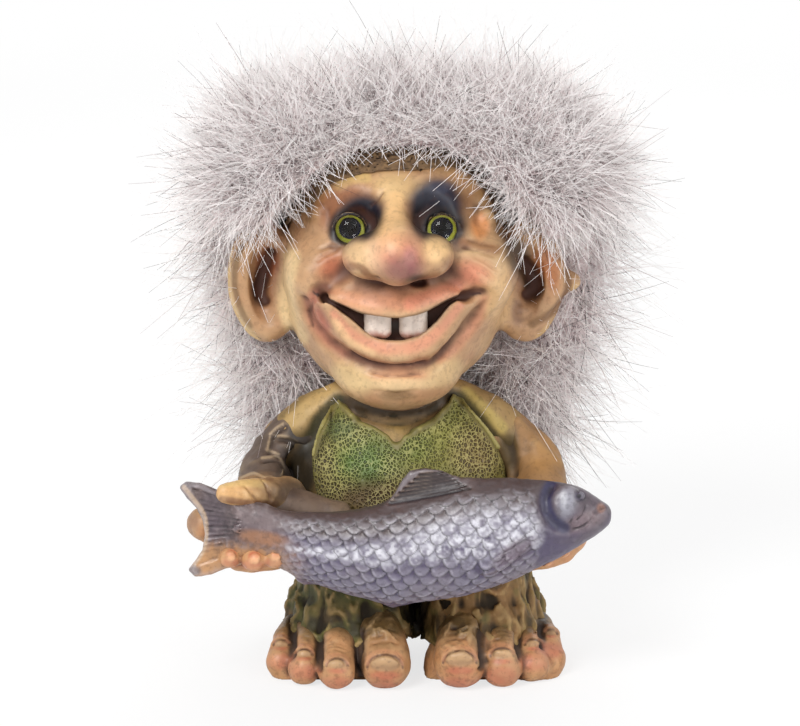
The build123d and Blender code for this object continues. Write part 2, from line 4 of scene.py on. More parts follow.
import bpy
import numpy as np
from mathutils import Euler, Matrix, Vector


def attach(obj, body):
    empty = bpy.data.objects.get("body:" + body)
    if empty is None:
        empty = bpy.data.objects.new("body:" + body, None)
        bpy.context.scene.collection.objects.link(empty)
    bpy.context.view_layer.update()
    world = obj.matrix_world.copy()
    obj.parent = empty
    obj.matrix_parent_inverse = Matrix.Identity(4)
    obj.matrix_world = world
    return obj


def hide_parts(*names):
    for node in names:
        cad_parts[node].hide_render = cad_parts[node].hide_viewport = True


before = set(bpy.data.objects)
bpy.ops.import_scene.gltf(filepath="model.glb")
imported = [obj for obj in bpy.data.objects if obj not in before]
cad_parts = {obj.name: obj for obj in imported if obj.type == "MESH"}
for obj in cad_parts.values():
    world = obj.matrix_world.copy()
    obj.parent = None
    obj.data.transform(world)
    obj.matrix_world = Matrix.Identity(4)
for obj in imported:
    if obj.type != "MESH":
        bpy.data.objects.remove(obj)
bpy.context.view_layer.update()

mm = 0.001
print("frame loaded")

# the photograph's camera, in mm, and in pixels of its frame
cameraLook = {
    "frame": (800, 726),
    "distance": 800.0,
    "elevation": 14.0,
    "target": (-2.15, -10.0, 68.15),
    "mmPerPixel": 0.215,
    "lens": 150.0,
}

pixel = cameraLook["mmPerPixel"]
eyeDistance = cameraLook["distance"]
middleX, middleY = (side // 2 for side in cameraLook["frame"])
tilt = math.radians(cameraLook["elevation"])
lookWay = np.array([0.0, math.cos(tilt), -math.sin(tilt)])
upWay = np.array([0.0, math.sin(tilt), math.cos(tilt)])
eyePoint = np.array(cameraLook["target"]) - lookWay * eyeDistance


def onPhoto(points):
    # the pixel at which each point shows
    offset = points - eyePoint
    scale = eyeDistance / (offset @ lookWay) / pixel
    return middleX + offset[..., 0] * scale, middleY - (offset @ upWay) * scale


def sightLine(px, py):
    # the way from the camera to a pixel
    return lookWay * eyeDistance + upWay * (middleY - py) * pixel + np.array([(px - middleX) * pixel, 0, 0])


def placed(name, data):
    piece = bpy.data.objects.new(name, data)
    bpy.context.scene.collection.objects.link(piece)
    return piece


camera = placed("camera", bpy.data.cameras.new("camera"))
camera.data.sensor_width = cameraLook["frame"][0] * pixel * cameraLook["lens"] / eyeDistance
camera.data.lens = cameraLook["lens"]
camera.location = Vector(eyePoint) * mm
camera.rotation_euler = Euler((math.pi / 2 - tilt, 0, 0))
camera.data.clip_end = 20
bpy.context.scene.camera = camera

tableSize = 48
noiseTable = np.random.default_rng(7).random((tableSize,) * 3).astype(np.float32) * 2 - 1


def lumps(x, y, z, size, seed=0):
    # smooth random values between -1 and 1, with lumps of a given size
    cells = []
    for value, shift in zip((x, y, z), (0.37, 0.11, 0.73)):
        place = value / size + shift + seed * 7.31
        whole = np.floor(place)
        share = place - whole
        cells.append((whole.astype(int), share * share * (3 - 2 * share)))
    total = 0
    for corner in itertools.product((0, 1), repeat=3):
        weight = 1
        for bit, (whole, share) in zip(corner, cells):
            weight = weight * (share if bit else 1 - share)
        spot = [(whole + bit) % tableSize for bit, (whole, share) in zip(corner, cells)]
        total = total + weight * noiseTable[spot[0], spot[1], spot[2]]
    return total


def smooth(value, low, high):
    share = np.clip((value - low) / (high - low), 0, 1)
    return share * share * (3 - 2 * share)


def softMin(first, second, soft):
    share = np.clip(0.5 + 0.5 * (second - first) / soft, 0, 1)
    return second * (1 - share) + first * share - soft * share * (1 - share)


def egg(centre, radii, turn=(0, 0, 0)):
    # a shape is its distance, and the low and high corner of the box that it fills
    centre = np.array(centre, float)
    radii = np.array(radii, float) * np.ones(3)
    turned = np.array(Euler([math.radians(angle) for angle in turn]).to_matrix())

    def distance(x, y, z):
        offset = (x - centre[0], y - centre[1], z - centre[2])
        local = [sum(turned[row, column] * offset[row] for row in range(3)) for column in range(3)]
        near = np.sqrt(sum((part / radius) ** 2 for part, radius in zip(local, radii)))
        steep = np.sqrt(sum((part / radius**2) ** 2 for part, radius in zip(local, radii))) + 1e-6
        return near * (near - 1) / steep

    return distance, centre - radii.max(), centre + radii.max()


def curved(points, values, steps=3):
    # a smooth curve through four or more points, with a value for each
    points = np.array(points, float)
    rows = np.column_stack([points, np.array(values, float) * np.ones(len(points))])
    if len(rows) < 4:
        return rows[:, :-1], rows[:, -1]
    padded = np.concatenate([rows[:1] * 2 - rows[1:2], rows, rows[-1:] * 2 - rows[-2:-1]])
    result = []
    for a, b, c, d in zip(padded, padded[1:], padded[2:], padded[3:]):
        for t in np.arange(steps) / steps:
            square, cube = 2 * a - 5 * b + 4 * c - d, 3 * b - a - 3 * c + d
            result.append(0.5 * (2 * b + (c - a) * t + square * t**2 + cube * t**3))
    result = np.array(result + [rows[-1]])
    return result[:, :-1], np.maximum(result[:, -1], rows[:, -1].min())


def besideRun(place, start, end):
    # how far along a straight run each place lies, from 0 to 1, and how far from it
    run = np.array(end, float) - start
    along = sum((axis - first) * step for axis, first, step in zip(place, start, run)) / (run @ run)
    along = np.clip(along, 0, 1)
    away = sum((axis - first - along * step) ** 2 for axis, first, step in zip(place, start, run))
    return along, np.sqrt(away)


def besideCourse(place, points, radii):
    # the distance to a course of runs, less the radius that it has there
    nearest = 1e3
    for start, end, first, last in zip(points, points[1:], radii, radii[1:]):
        along, away = besideRun(place, start, end)
        nearest = np.minimum(nearest, away - first - along * (last - first))
    return nearest


def limb(points, radii):
    # a tube through points, with a radius for each
    points, radii = curved(points, radii)

    def distance(x, y, z):
        return besideCourse((x, y, z), points, radii)

    return distance, points.min(0) - radii.max(), points.max(0) + radii.max()


class Clay:
    # a block of distances, in mm, that shapes are added to and cut from
    def __init__(self, low, high, cell):
        self.cell = cell
        self.low = np.array(low, float)
        self.size = np.ceil((np.array(high) - self.low) / cell).astype(int) + 1
        self.field = np.full(tuple(self.size), 20.0, np.float32)

    def grid(self, low=None, high=None):
        # the slices of a box, and its open grid of x, y and z
        start = np.zeros(3, int) if low is None else np.floor((low - self.low) / self.cell).astype(int)
        stop = self.size if high is None else np.ceil((high - self.low) / self.cell).astype(int) + 1
        start, stop = np.clip(start, 0, self.size), np.clip(stop, 0, self.size)
        axes = [(self.low[i] + self.cell * np.arange(start[i], stop[i])).astype(np.float32) for i in range(3)]
        x, y, z = axes[0][:, None, None], axes[1][None, :, None], axes[2][None, None, :]
        return tuple(slice(a, b) for a, b in zip(start, stop)), x, y, z

    def work(self, shape, soft, cutting):
        distance, low, high = shape
        part, x, y, z = self.grid(low - soft - 2, high + soft + 2)
        if self.field[part].size == 0:
            return
        away = distance(x, y, z)
        if cutting:
            self.field[part] = -softMin(-self.field[part], away, soft)
        else:
            self.field[part] = softMin(self.field[part], away, soft)

    def add(self, shape, soft=1.0):
        self.work(shape, soft, False)

    def cut(self, shape, soft=1.0):
        self.work(shape, soft, True)

    def sample(self, points, field=None):
        # the field between its cells
        field = self.field if field is None else field
        place = (points - self.low) / self.cell
        whole = np.clip(np.floor(place).astype(int), 0, self.size - 2)
        share = np.clip(place - whole, 0, 1)
        total = 0
        for corner in itertools.product((0, 1), repeat=3):
            weight = np.prod(np.where(corner, share, 1 - share), axis=-1)
            total = total + weight * field[
                whole[..., 0] + corner[0], whole[..., 1] + corner[1], whole[..., 2] + corner[2]
            ]
        return total

    def slope(self, points):
        step = np.eye(3) * self.cell * 0.6
        rises = [self.sample(points + shift) - self.sample(points - shift) for shift in step]
        return np.stack(rises, -1) / (1.2 * self.cell)

    def seat(self, px, py, sink=0.0):
        # the point of the surface that shows at a pixel, moved back along the view by sink
        ray = sightLine(px, py)
        ray = ray / np.linalg.norm(ray)
        steps = np.arange(eyeDistance - 60, eyeDistance + 60, 0.2)
        inside = np.nonzero(self.sample(eyePoint + steps[:, None] * ray) < 0)[0]
        depth = steps[inside[0]] if len(inside) else eyeDistance
        return eyePoint + ray * (depth + sink)

    def path(self, pixels, sink=0.0):
        return [self.seat(px, py, sink) for px, py in pixels]

    def ridge(self, pixels, radii, soft, sink=0.0):
        # a ridge along a line drawn on the photograph
        self.add(limb(self.path(pixels, sink), radii), soft)

    def groove(self, pixels, radii, soft, sink=0.0):
        self.cut(limb(self.path(pixels, sink), radii), soft)

    def roughen(self, *layers):
        # lumps, each of a height, a size and a seed
        x, y, z = self.grid()[1:]
        self.field += sum(height * lumps(x, y, z, size, seed) for height, size, seed in layers)

    def blurred(self, reach):
        # the field averaged over a box three times
        width = max(1, int(round(reach / self.cell)))
        field = np.clip(self.field, -4, 4)
        for axis in (0, 1, 2, 0, 1, 2):
            first, last = field.take([0], axis), field.take([-1], axis)
            padded = [np.repeat(first, width + 1, axis), field, np.repeat(last, width, axis)]
            padded = np.concatenate(padded, axis)
            running = np.cumsum(padded, axis, dtype=np.float32)
            count = field.shape[axis]
            top = running.take(range(2 * width + 1, 2 * width + 1 + count), axis)
            field = (top - running.take(range(0, count), axis)) / (2 * width + 1)
        return field


def surfaceOf(clay):
    # one vertex in each cell that the surface crosses, and one quad for each crossed edge
    field = clay.field
    inside = field < 0
    corners = list(itertools.product((0, 1), repeat=3))
    count = 0
    for corner in corners:
        part = tuple(slice(first, length - 1 + first) for first, length in zip(corner, field.shape))
        count = count + inside[part].astype(np.int8)
    active = (count > 0) & (count < 8)
    cells = np.stack(np.nonzero(active), -1)
    index = np.full(active.shape, -1, np.int32)
    index[active] = np.arange(len(cells))
    total, crossings = np.zeros((len(cells), 3)), np.zeros(len(cells))
    for first, second in itertools.combinations(corners, 2):
        first, second = np.array(first), np.array(second)
        if np.abs(first - second).sum() != 1:
            continue
        firstValue = field[tuple((cells + first).T)].astype(float)
        secondValue = field[tuple((cells + second).T)].astype(float)
        crossed = (firstValue < 0) != (secondValue < 0)
        share = np.where(crossed, firstValue / np.where(crossed, firstValue - secondValue, 1), 0)
        total += np.where(crossed[:, None], first + share[:, None] * (second - first), 0)
        crossings += crossed
    points = clay.low + (cells + total / crossings[:, None]) * clay.cell
    quads = []
    for axis in range(3):
        side, other = (axis + 1) % 3, (axis + 2) % 3
        low = [slice(1, -1)] * 3
        low[axis] = slice(0, -1)
        high = [slice(1, -1)] * 3
        high[axis] = slice(1, None)
        start, end = inside[tuple(low)], inside[tuple(high)]
        for crossed, flip in ((start & ~end, False), (~start & end, True)):
            place = np.stack(np.nonzero(crossed), -1)
            offset = np.ones(3, int)
            offset[axis] = 0
            place = place + offset
            ring = []
            for a, b in ((-1, -1), (0, -1), (0, 0), (-1, 0)):
                step = np.zeros(3, int)
                step[side], step[other] = a, b
                ring.append(index[tuple((place + step).T)])
            quads.append(np.stack(ring[::-1] if flip else ring, -1))
    quads = np.concatenate(quads)
    quads = quads[(quads >= 0).all(1)]
    for _ in range(2):
        slope = clay.slope(points)
        steep = (slope**2).sum(-1, keepdims=True) + 1e-6
        points = points - np.clip(clay.sample(points)[:, None] * slope / steep, -clay.cell, clay.cell)
    normals = clay.slope(points)
    normals /= np.linalg.norm(normals, axis=-1, keepdims=True) + 1e-9
    return points, normals, quads


def makeMesh(name, points, faces):
    mesh = bpy.data.meshes.new(name)
    faces = faces.tolist() if isinstance(faces, np.ndarray) else faces
    mesh.from_pydata((np.asarray(points) * mm).tolist(), [], faces)
    mesh.shade_smooth()
    return placed(name, mesh)


def dressed(piece, node):
    # the piece rides the body and shows in place of a CAD node
    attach(piece, "root")
    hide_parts(node)


def keepValues(piece, name, values):
    values = np.asarray(values, np.float32)
    kinds = {1: ("FLOAT", "value"), 3: ("FLOAT_VECTOR", "vector"), 4: ("FLOAT_COLOR", "color")}
    kind, field = kinds[1 if values.ndim == 1 else values.shape[1]]
    attribute = piece.data.attributes.new(name, kind, "POINT")
    attribute.data.foreach_set(field, values.ravel())


def tone(colour):
    # a colour of 0 to 255 as the light it reflects
    share = np.array(colour, float) / 255
    return np.where(share <= 0.04045, share / 12.92, ((share + 0.055) / 1.055) ** 2.4)


class Paint:
    # colours laid on the surface one over the other; places are the photograph's pixels
    def __init__(self, points, normals, colour):
        self.points, self.normals = points, normals
        self.px, self.py = onPhoto(points)
        self.front = smooth(normals @ -lookWay, -0.15, 0.2)
        self.colour = np.tile(tone(colour), (len(points), 1))

    def cover(self, mask, colour, strength=1.0):
        share = np.clip(mask * strength, 0, 1)[:, None]
        self.colour += (tone(colour) - self.colour) * share

    def dab(self, place, size, colour, strength=1.0, turn=0.0, edge=0.45):
        angle = math.radians(turn)
        dx, dy = self.px - place[0], self.py - place[1]
        along = (dx * math.cos(angle) + dy * math.sin(angle)) / size[0]
        across = (dy * math.cos(angle) - dx * math.sin(angle)) / size[1]
        away = np.sqrt(along**2 + across**2)
        self.cover((1 - smooth(away, 1 - edge, 1 + edge)) * self.front, colour, strength)

    def stroke(self, path, width, colour, strength=1.0, edge=0.5):
        nearest = 1e3
        path, widths = curved(path, width)
        for start, end, first, last in zip(path, path[1:], widths, widths[1:]):
            along, away = besideRun((self.px, self.py), start, end)
            nearest = np.minimum(nearest, away / (first + along * (last - first)))
        self.cover((1 - smooth(nearest, 1 - edge, 1 + edge)) * self.front, colour, strength)

    def mottle(self, size, colour, strength, seed=0, low=0.0, high=0.8):
        value = lumps(*self.points.T, size, seed)
        self.cover(smooth(value, low, high), colour, strength)


def cast(name, clay, surface, node, layers):
    # a mesh that keeps how deep each point lies in a hollow of the clay, or how far it
    # stands on a ridge, against the clay blurred by each layer's reach
    points, normals, quads = surface
    piece = makeMesh(name, points, quads)
    near = points + normals * 0.2
    hollow = sum(weight * (0.2 - clay.sample(near, clay.blurred(reach))) / reach for reach, weight in layers)
    keepValues(piece, "hollow", hollow)
    dressed(piece, node)
    print(f"{name}: {len(quads)} faces")
    return piece


def sculpted(name, clay, node, fine=0.7, broad=2.2):
    points, normals, quads = surfaceOf(clay)
    piece = cast(name, clay, (points, normals, quads), node, ((fine, 2.0), (broad, 0.7)))
    return piece, points, normals


def finishPaint(piece, paint, material):
    keepValues(piece, "paint", np.column_stack([paint.colour, np.ones(len(paint.colour))]))
    piece.data.materials.append(material)


# node groups and materials
def link(tree, start, end):
    tree.links.new(start, end)


def newGroup(name, inputs, outputs):
    group = bpy.data.node_groups.new(name, "ShaderNodeTree")
    for label, kind, value in inputs:
        socket = group.interface.new_socket(label, in_out="INPUT", socket_type=kind)
        socket.default_value = value
    for label, kind in outputs:
        group.interface.new_socket(label, in_out="OUTPUT", socket_type=kind)
    return group, group.nodes.new("NodeGroupInput"), group.nodes.new("NodeGroupOutput")


def addNode(tree, kind, inputs=None, **settings):
    # a node with its settings; each input takes a link or a plain value
    node = tree.nodes.new(kind)
    for key, setting in settings.items():
        setattr(node, key, setting)
    for key, given in (inputs or {}).items():
        if isinstance(given, bpy.types.NodeSocket):
            tree.links.new(given, node.inputs[key])
        else:
            node.inputs[key].default_value = given
    return node


def mixColour(tree, share, first, second, blend="MIX"):
    inputs = {0: share, 6: first, 7: second}
    return addNode(tree, "ShaderNodeMix", inputs, data_type="RGBA", blend_type=blend).outputs[2]


def maths(tree, operation, first, second=0.0, clamp=False):
    inputs = {0: first, 1: second}
    return addNode(tree, "ShaderNodeMath", inputs, operation=operation, use_clamp=clamp).outputs[0]


def vectorMaths(tree, operation, first, second=None, scale=None, output="Vector"):
    inputs = {key: given for key, given in ((0, first), (1, second), ("Scale", scale)) if given is not None}
    return addNode(tree, "ShaderNodeVectorMath", inputs, operation=operation).outputs[output]


def noise(tree, place, scale, detail, roughness=0.5):
    inputs = {"Vector": place, "Scale": scale, "Detail": detail, "Roughness": roughness}
    return addNode(tree, "ShaderNodeTexNoise", inputs).outputs[0]


def shaded(tree, colour, tint):
    # a colour made a little darker or paler by a value
    grey = addNode(tree, "ShaderNodeCombineColor", {0: tint, 1: tint, 2: tint}).outputs[0]
    return mixColour(tree, 1.0, colour, grey, "MULTIPLY")


def ramped(tree, value, low, high):
    node = addNode(tree, "ShaderNodeMapRange", {"Value": value, "From Min": low, "From Max": high})
    node.interpolation_type = "SMOOTHSTEP"
    return node.outputs["Result"]


def shade(colour):
    return (*tone(colour), 1.0)


def makeBrushWorkWithShading():
    # hand painting: a dark wash in the hollows, which also paints their shade, and a pale rub on the ridges,
    # which also paints their highlights
    group, given, result = newGroup(
        "brushWorkWithShading",
        [
            ("Vector", "NodeSocketVector", (0, 0, 0)),
            ("Paint", "NodeSocketColor", (1, 1, 1, 1)),
            ("Hollow", "NodeSocketFloat", 0.0),
            ("Wash And Shade Color", "NodeSocketColor", (0, 0, 0, 1)),
            ("Wash And Shade", "NodeSocketFloat", 1.0),
            ("Rub And Highlight Color", "NodeSocketColor", (1, 1, 1, 1)),
            ("Rub And Highlight", "NodeSocketFloat", 0.5),
            ("Speckle", "NodeSocketFloat", 0.5),
            ("Gloss", "NodeSocketFloat", 0.45),
        ],
        [("Color", "NodeSocketColor"), ("Roughness", "NodeSocketFloat"), ("Height", "NodeSocketFloat")],
    )
    g = given.outputs
    fine = noise(group, g["Vector"], 900, 3, 0.6)
    coarse = noise(group, g["Vector"], 210, 4, 0.62)
    jitter = maths(group, "MULTIPLY", maths(group, "SUBTRACT", coarse, 0.5), 0.9)
    broken = maths(group, "ADD", g["Hollow"], jitter)
    # the hollows darken: a wash and painted shade
    washAndShadeMask = maths(group, "MULTIPLY", ramped(group, broken, 0.15, 1.3), g["Wash And Shade"], True)
    # the ridges pale: a rub and painted highlights
    rubAndHighlightMask = ramped(group, maths(group, "MULTIPLY", broken, -1.0), 0.25, 1.1)
    bright = addNode(group, "ShaderNodeRGBToBW", {0: g["Paint"]}).outputs[0]
    rubAndHighlightMask = maths(group, "MULTIPLY", rubAndHighlightMask, ramped(group, bright, 0.01, 0.06))
    rubAndHighlightMask = maths(group, "MULTIPLY", rubAndHighlightMask, g["Rub And Highlight"], True)
    colour = mixColour(group, washAndShadeMask, g["Paint"], g["Wash And Shade Color"])
    colour = mixColour(group, rubAndHighlightMask, colour, g["Rub And Highlight Color"])
    speck = maths(group, "ADD", fine, maths(group, "MULTIPLY", coarse, 0.35))
    speck = maths(group, "MULTIPLY", ramped(group, speck, 0.66, 0.86), g["Speckle"])
    colour = mixColour(group, speck, colour, g["Wash And Shade Color"])
    tint = ramped(group, coarse, 0.3, 0.7)
    tint = maths(group, "ADD", maths(group, "MULTIPLY", tint, 0.20), 0.88)
    link(group, shaded(group, colour, tint), result.inputs["Color"])
    rough = maths(group, "ADD", g["Gloss"], maths(group, "MULTIPLY", washAndShadeMask, 0.25))
    rough = maths(group, "ADD", rough, maths(group, "MULTIPLY", fine, 0.12))
    link(group, rough, result.inputs["Roughness"])
    height = maths(group, "ADD", fine, maths(group, "MULTIPLY", coarse, 2.0))
    link(group, height, result.inputs["Height"])
    return group


brushWorkWithShading = makeBrushWorkWithShading()


def newMaterial(name):
    material = bpy.data.materials.new(name)
    material.use_nodes = True
    tree = material.node_tree
    shader = tree.nodes["Principled BSDF"]
    place = tree.nodes.new("ShaderNodeTexCoord").outputs["Object"]
    return material, tree, shader, place


def value(tree, name, output="Fac"):
    return addNode(tree, "ShaderNodeAttribute", attribute_name=name).outputs[output]


def paintedCast(name, look):
    material, tree, shader, place = newMaterial(name)
    # the wash colour also paints shade in the hollows, the rub colour also paints highlights on the ridges
    work = addNode(tree, "ShaderNodeGroup", {
        "Vector": place, "Paint": value(tree, "paint", "Color"), "Hollow": value(tree, "hollow"),
        "Wash And Shade Color": shade(look["washAndShadeColour"]), "Wash And Shade": look["washAndShade"],
        "Rub And Highlight Color": shade(look["rubAndHighlightColour"]), "Rub And Highlight": look["rubAndHighlight"],
        "Speckle": look["speckle"], "Gloss": look["gloss"],
    }, node_tree=brushWorkWithShading)
    bump = addNode(tree, "ShaderNodeBump", {"Strength": 1.0, "Distance": look["grain"] * mm})
    link(tree, work.outputs["Height"], bump.inputs["Height"])
    link(tree, work.outputs["Color"], shader.inputs["Base Color"])
    link(tree, work.outputs["Roughness"], shader.inputs["Roughness"])
    link(tree, bump.outputs["Normal"], shader.inputs["Normal"])
    shader.inputs["Specular IOR Level"].default_value = look["specular"]
    return material


# head: skull levels as shares, then what swells, folds and is hollowed
headLook = {
    "cell": 0.44, "eyePlaces": (-12.7, 6.7), "eyeHeight": 99.0, "eyeHole": 3.14, "lidRadius": 3.55,
    "skin": (182, 142, 104),
    # the wash below also paints shade in the hollows, the rub also paints highlights on the ridges
    "washAndShadeColour": (66, 34, 22), "washAndShade": 0.95,
    "rubAndHighlightColour": (222, 192, 150), "rubAndHighlight": 0.25,
    "speckle": 0.2, "gloss": 0.36, "grain": 0.035, "specular": 0.4,
}
headPlace = (-3.0, 1.0, 61.5)
headSize = (56.0, 24.4, 25.0, 24.0)
headLevels = (
    (0.000, 0.43, 0.62, 0.32), (0.060, 0.66, 0.87, 0.56), (0.160, 0.85, 1.00, 0.78),
    (0.300, 1.00, 1.03, 0.93), (0.440, 1.04, 1.00, 1.00), (0.580, 0.99, 0.93, 1.00),
    (0.700, 0.87, 0.88, 0.97), (0.800, 0.79, 0.80, 0.89), (0.880, 0.66, 0.66, 0.75),
    (0.940, 0.49, 0.48, 0.56), (0.980, 0.29, 0.28, 0.33), (1.000, 0.12, 0.12, 0.14),
)


def rounded(row, reach):
    # a row of values, each one averaged with its neighbours
    padded = np.concatenate([np.full(reach, row[0]), row, np.full(reach, row[-1])])
    return np.convolve(padded, np.ones(2 * reach + 1) / (2 * reach + 1), "valid")


def levelForm(place, size, levels, grow=0.0):
    # a stack of level ovals as one smooth form
    table = np.array(levels)
    heights = place[2] + table[:, 0] * size[0]
    fineHeights = np.linspace(heights[0], heights[-1], 160)
    rows = [
        rounded(np.interp(fineHeights, heights, table[:, column]) * size[column], 6) + grow
        for column in (1, 2, 3)
    ]

    def distance(x, y, z):
        wide, front, back = (np.interp(z.ravel(), fineHeights, row).reshape(z.shape) for row in rows)
        x, y = x - place[0], y - place[1]
        deep = np.where(y < 0, front, back)
        near = np.sqrt((x / wide) ** 2 + (y / deep) ** 2) + 1e-6
        away = np.sqrt(x**2 + y**2)
        sides = away - away / near
        sides = np.where(near < 0.05, -np.minimum(wide, deep), sides)
        ends = np.maximum(heights[0] - grow - z, z - heights[-1] - grow)
        return -softMin(-sides, -ends * np.ones_like(sides), 0.8)

    low = np.array([place[0] - rows[0].max(), place[1] - rows[1].max(), heights[0] - grow])
    high = np.array([place[0] + rows[0].max(), place[1] + rows[2].max(), heights[-1] + grow])
    return distance, low - 1, high + 1


def slot(points, radii, backY, low, high):
    # a slit drawn on the photograph and cut straight back to a depth
    points, radii = curved(points, radii)

    def distance(x, y, z):
        spot = onPhoto(np.stack(np.broadcast_arrays(x, y, z), -1))
        return np.maximum(besideCourse(spot, points, radii) * pixel, y - backY)

    return distance, np.array(low), np.array(high)


def shapeEars(clay):
    # a cupped leaf on each side, with a rim, an inner ridge and a deep hollow
    for side in (-1, 1):
        centre = np.array([headPlace[0] + side * 28.5, headPlace[1], 83.9])
        clay.add(egg(centre, (9.2, 4.4, 13.6), (0, 0, side * 30)), 2.5)
        if side > 0:
            clay.add(limb([centre + (2, 2, 0), (35.2, 4.0, 83.0)], (4.2, 2.0)), 3.0)
        ahead = centre + np.array([-side * 1.6, -4.6, 0.4])
        clay.cut(egg(ahead, (5.6, 2.7, 9.8), (0, 0, side * 30)), 1.2)
    rims = (
        (
            [(250, 247), (242, 262), (240, 285), (244, 305), (254, 322), (268, 332)],
            [(270, 254), (264, 270), (260, 290), (264, 300)],
        ),
        (
            [(549, 256), (556, 270), (556, 288), (547, 302), (532, 311), (518, 312)],
            [(524, 262), (532, 274), (535, 287), (528, 294)],
        ),
    )
    for ridge, hollow in rims:
        clay.ridge(ridge, (1.4, 1.9, 2.0, 2.0, 1.9, 1.6), 1.2, 1.0)
        clay.groove(hollow, (1.2, 1.5, 1.6, 1.2), 1.6, 0.2)


def shapeCheeks(clay):
    # cheeks, muzzle and chin
    clay.add(egg((-18.2, -12.2, 88.0), (8.4, 9.4, 9.0)), 4.0)
    clay.add(egg((13.6, -12.2, 88.6), (9.4, 9.4, 9.0)), 4.0)
    clay.add(egg(clay.seat(394, 301, 6.6), (13.0, 8.2, 6.2)), 4.0)
    clay.add(egg(clay.seat(397, 375, 6.8), (13.0, 8.2, 7.2)), 4.5)


def shapeGrin(clay):
    # lips, and the folds round them
    smile = [
        (303, 304), (309, 320), (322, 338), (342, 353), (366, 363), (392, 369), (417, 367), (438, 356),
        (459, 338), (476, 317), (487, 300),
    ]
    clay.groove(smile, 1.4, 2.4, -0.5)
    lip = [
        (320, 297), (331, 309), (342, 326), (356, 340), (376, 349), (400, 352), (424, 347), (441, 333),
        (455, 315), (466, 303), (478, 294),
    ]
    clay.ridge(lip, (0.9, 1.4, 1.9, 2.3, 2.5, 2.6, 2.5, 2.2, 1.8, 1.4, 0.9), 1.5, 1.5)
    clay.ridge(
        [(332, 297), (350, 303), (372, 310), (394, 313), (416, 309), (437, 299), (456, 290)],
        (1.5, 1.8, 2.1, 2.2, 2.1, 1.8, 1.5), 2.0, 1.5,
    )
    for fold in (
        [(352, 264), (341, 270), (330, 280), (321, 290)], [(444, 268), (455, 278), (466, 286), (478, 293)],
    ):
        clay.groove(fold, (0.9, 1.6, 1.7, 1.3), 2.2, -0.4)


def shapeSockets(clay):
    # eye sockets under heavy brows
    clay.cut(egg((-11.6, -23.0, 101.2), (6.0, 7.2, 6.0)), 1.8)
    clay.cut(egg((5.6, -23.0, 102.6), (6.2, 7.2, 7.2)), 1.8)
    clay.ridge(
        [(318, 222), (324, 206), (338, 194), (358, 188), (376, 192)], (1.6, 2.0, 2.2, 2.0, 1.4), 2.0, 1.3,
    )
    clay.ridge(
        [(410, 190), (427, 179), (450, 177), (468, 187), (481, 205), (487, 222)],
        (1.4, 2.0, 2.2, 2.3, 2.3, 1.8), 2.0, 1.3,
    )
    clay.add(egg(clay.seat(484, 226, 1.0), (2.4, 2.4, 4.0), (0, 14, 0)), 1.4)
    clay.add(egg(clay.seat(322, 222, 1.2), (2.0, 2.2, 3.4), (0, -14, 0)), 1.4)


def shapeLids(clay):
    # lids hug each glass eye
    wide, z = headLook["lidRadius"], headLook["eyeHeight"]
    for x in headLook["eyePlaces"]:
        for first, last, y, forward, high in ((8, 172, -17.2, 0.5, wide), (190, 350, -16.6, 0, 3.5)):
            turns = np.radians(np.linspace(first, last, 9))
            lid = [(x + wide * math.cos(a), y - forward * math.sin(a), z + high * math.sin(a)) for a in turns]
            clay.add(limb(lid, 0.3), 0.9)
        clay.cut(limb([(x, -30.0, z), (x, -15.0, z)], headLook["eyeHole"]), 0.15)


def shapeNose(clay):
    clay.add(limb([(-3.6, -17.0, 106.5), (-3.6, -21.2, 102.6), (-3.0, -26.6, 97.6)], (2.4, 3.0, 4.6)), 3.0)
    clay.add(limb([(-9.6, -24.8, 95.2), (4.6, -24.8, 95.4)], 3.4), 3.0)
    clay.add(egg((-2.6, -29.0, 95.6), (5.8, 5.6, 5.8)), 4.5)
    for x in (-9.6, 4.8):
        clay.add(egg((x, -25.4, 94.8), (3.7, 4.2, 3.5)), 4.0)
    clay.cut(egg(clay.seat(418, 282, 0.2), (1.9, 2.0, 1.0), (0, 12, 0)), 0.9)
    clay.cut(egg(clay.seat(377, 278, 0.0), (0.8, 0.8, 0.4)), 0.8)


def shapeMouth(clay):
    # the opening, its corners and the face's fine lines
    mouth = [
        (324, 298), (338, 306), (357, 317), (376, 326), (395, 329), (414, 326), (431, 317),
        (449, 302), (470, 294),
    ]
    opening = (0.6, 2.0, 5.0, 10.5, 11.0, 10.8, 7.0, 2.2, 0.6)
    clay.cut(slot(mouth, opening, -19.4, (-20.2, -34.0, 70.0), (14.6, -18.4, 92.0)), 0.9)
    for corner in ([(328, 300), (320, 295), (314, 292)], [(466, 296), (474, 293), (481, 293)]):
        clay.groove(corner, (1.0, 0.8, 0.4), 1.8, -0.2)
    lines = (
        [(470, 240), (480, 243), (492, 245)], [(464, 247), (478, 251), (493, 255)],
        [(475, 256), (487, 262), (498, 270)],
        [(336, 250), (327, 254), (318, 260)], [(340, 246), (330, 246), (321, 249)],
        [(466, 262), (480, 268), (494, 279)], [(314, 300), (309, 312), (312, 326)],
        [(352, 352), (372, 362), (396, 365), (424, 361)],
        [(369, 372), (392, 377), (420, 374)], [(376, 391), (396, 394), (416, 391)],
        [(371, 206), (378, 200), (383, 192)],
    )
    for line in lines:
        clay.groove(line, 0.3, 0.6, -0.1)


def shapeHead():
    clay = Clay((-43.5, -38.5, 59.5), (38, 27.5, 119.5), headLook["cell"])
    clay.add(levelForm(headPlace, headSize, headLevels), 0.1)
    for shape in (shapeEars, shapeCheeks, shapeGrin, shapeSockets, shapeLids, shapeNose, shapeMouth):
        shape(clay)
    clay.roughen((0.22, 5.0, 1), (0.08, 1.7, 2))
    return clay


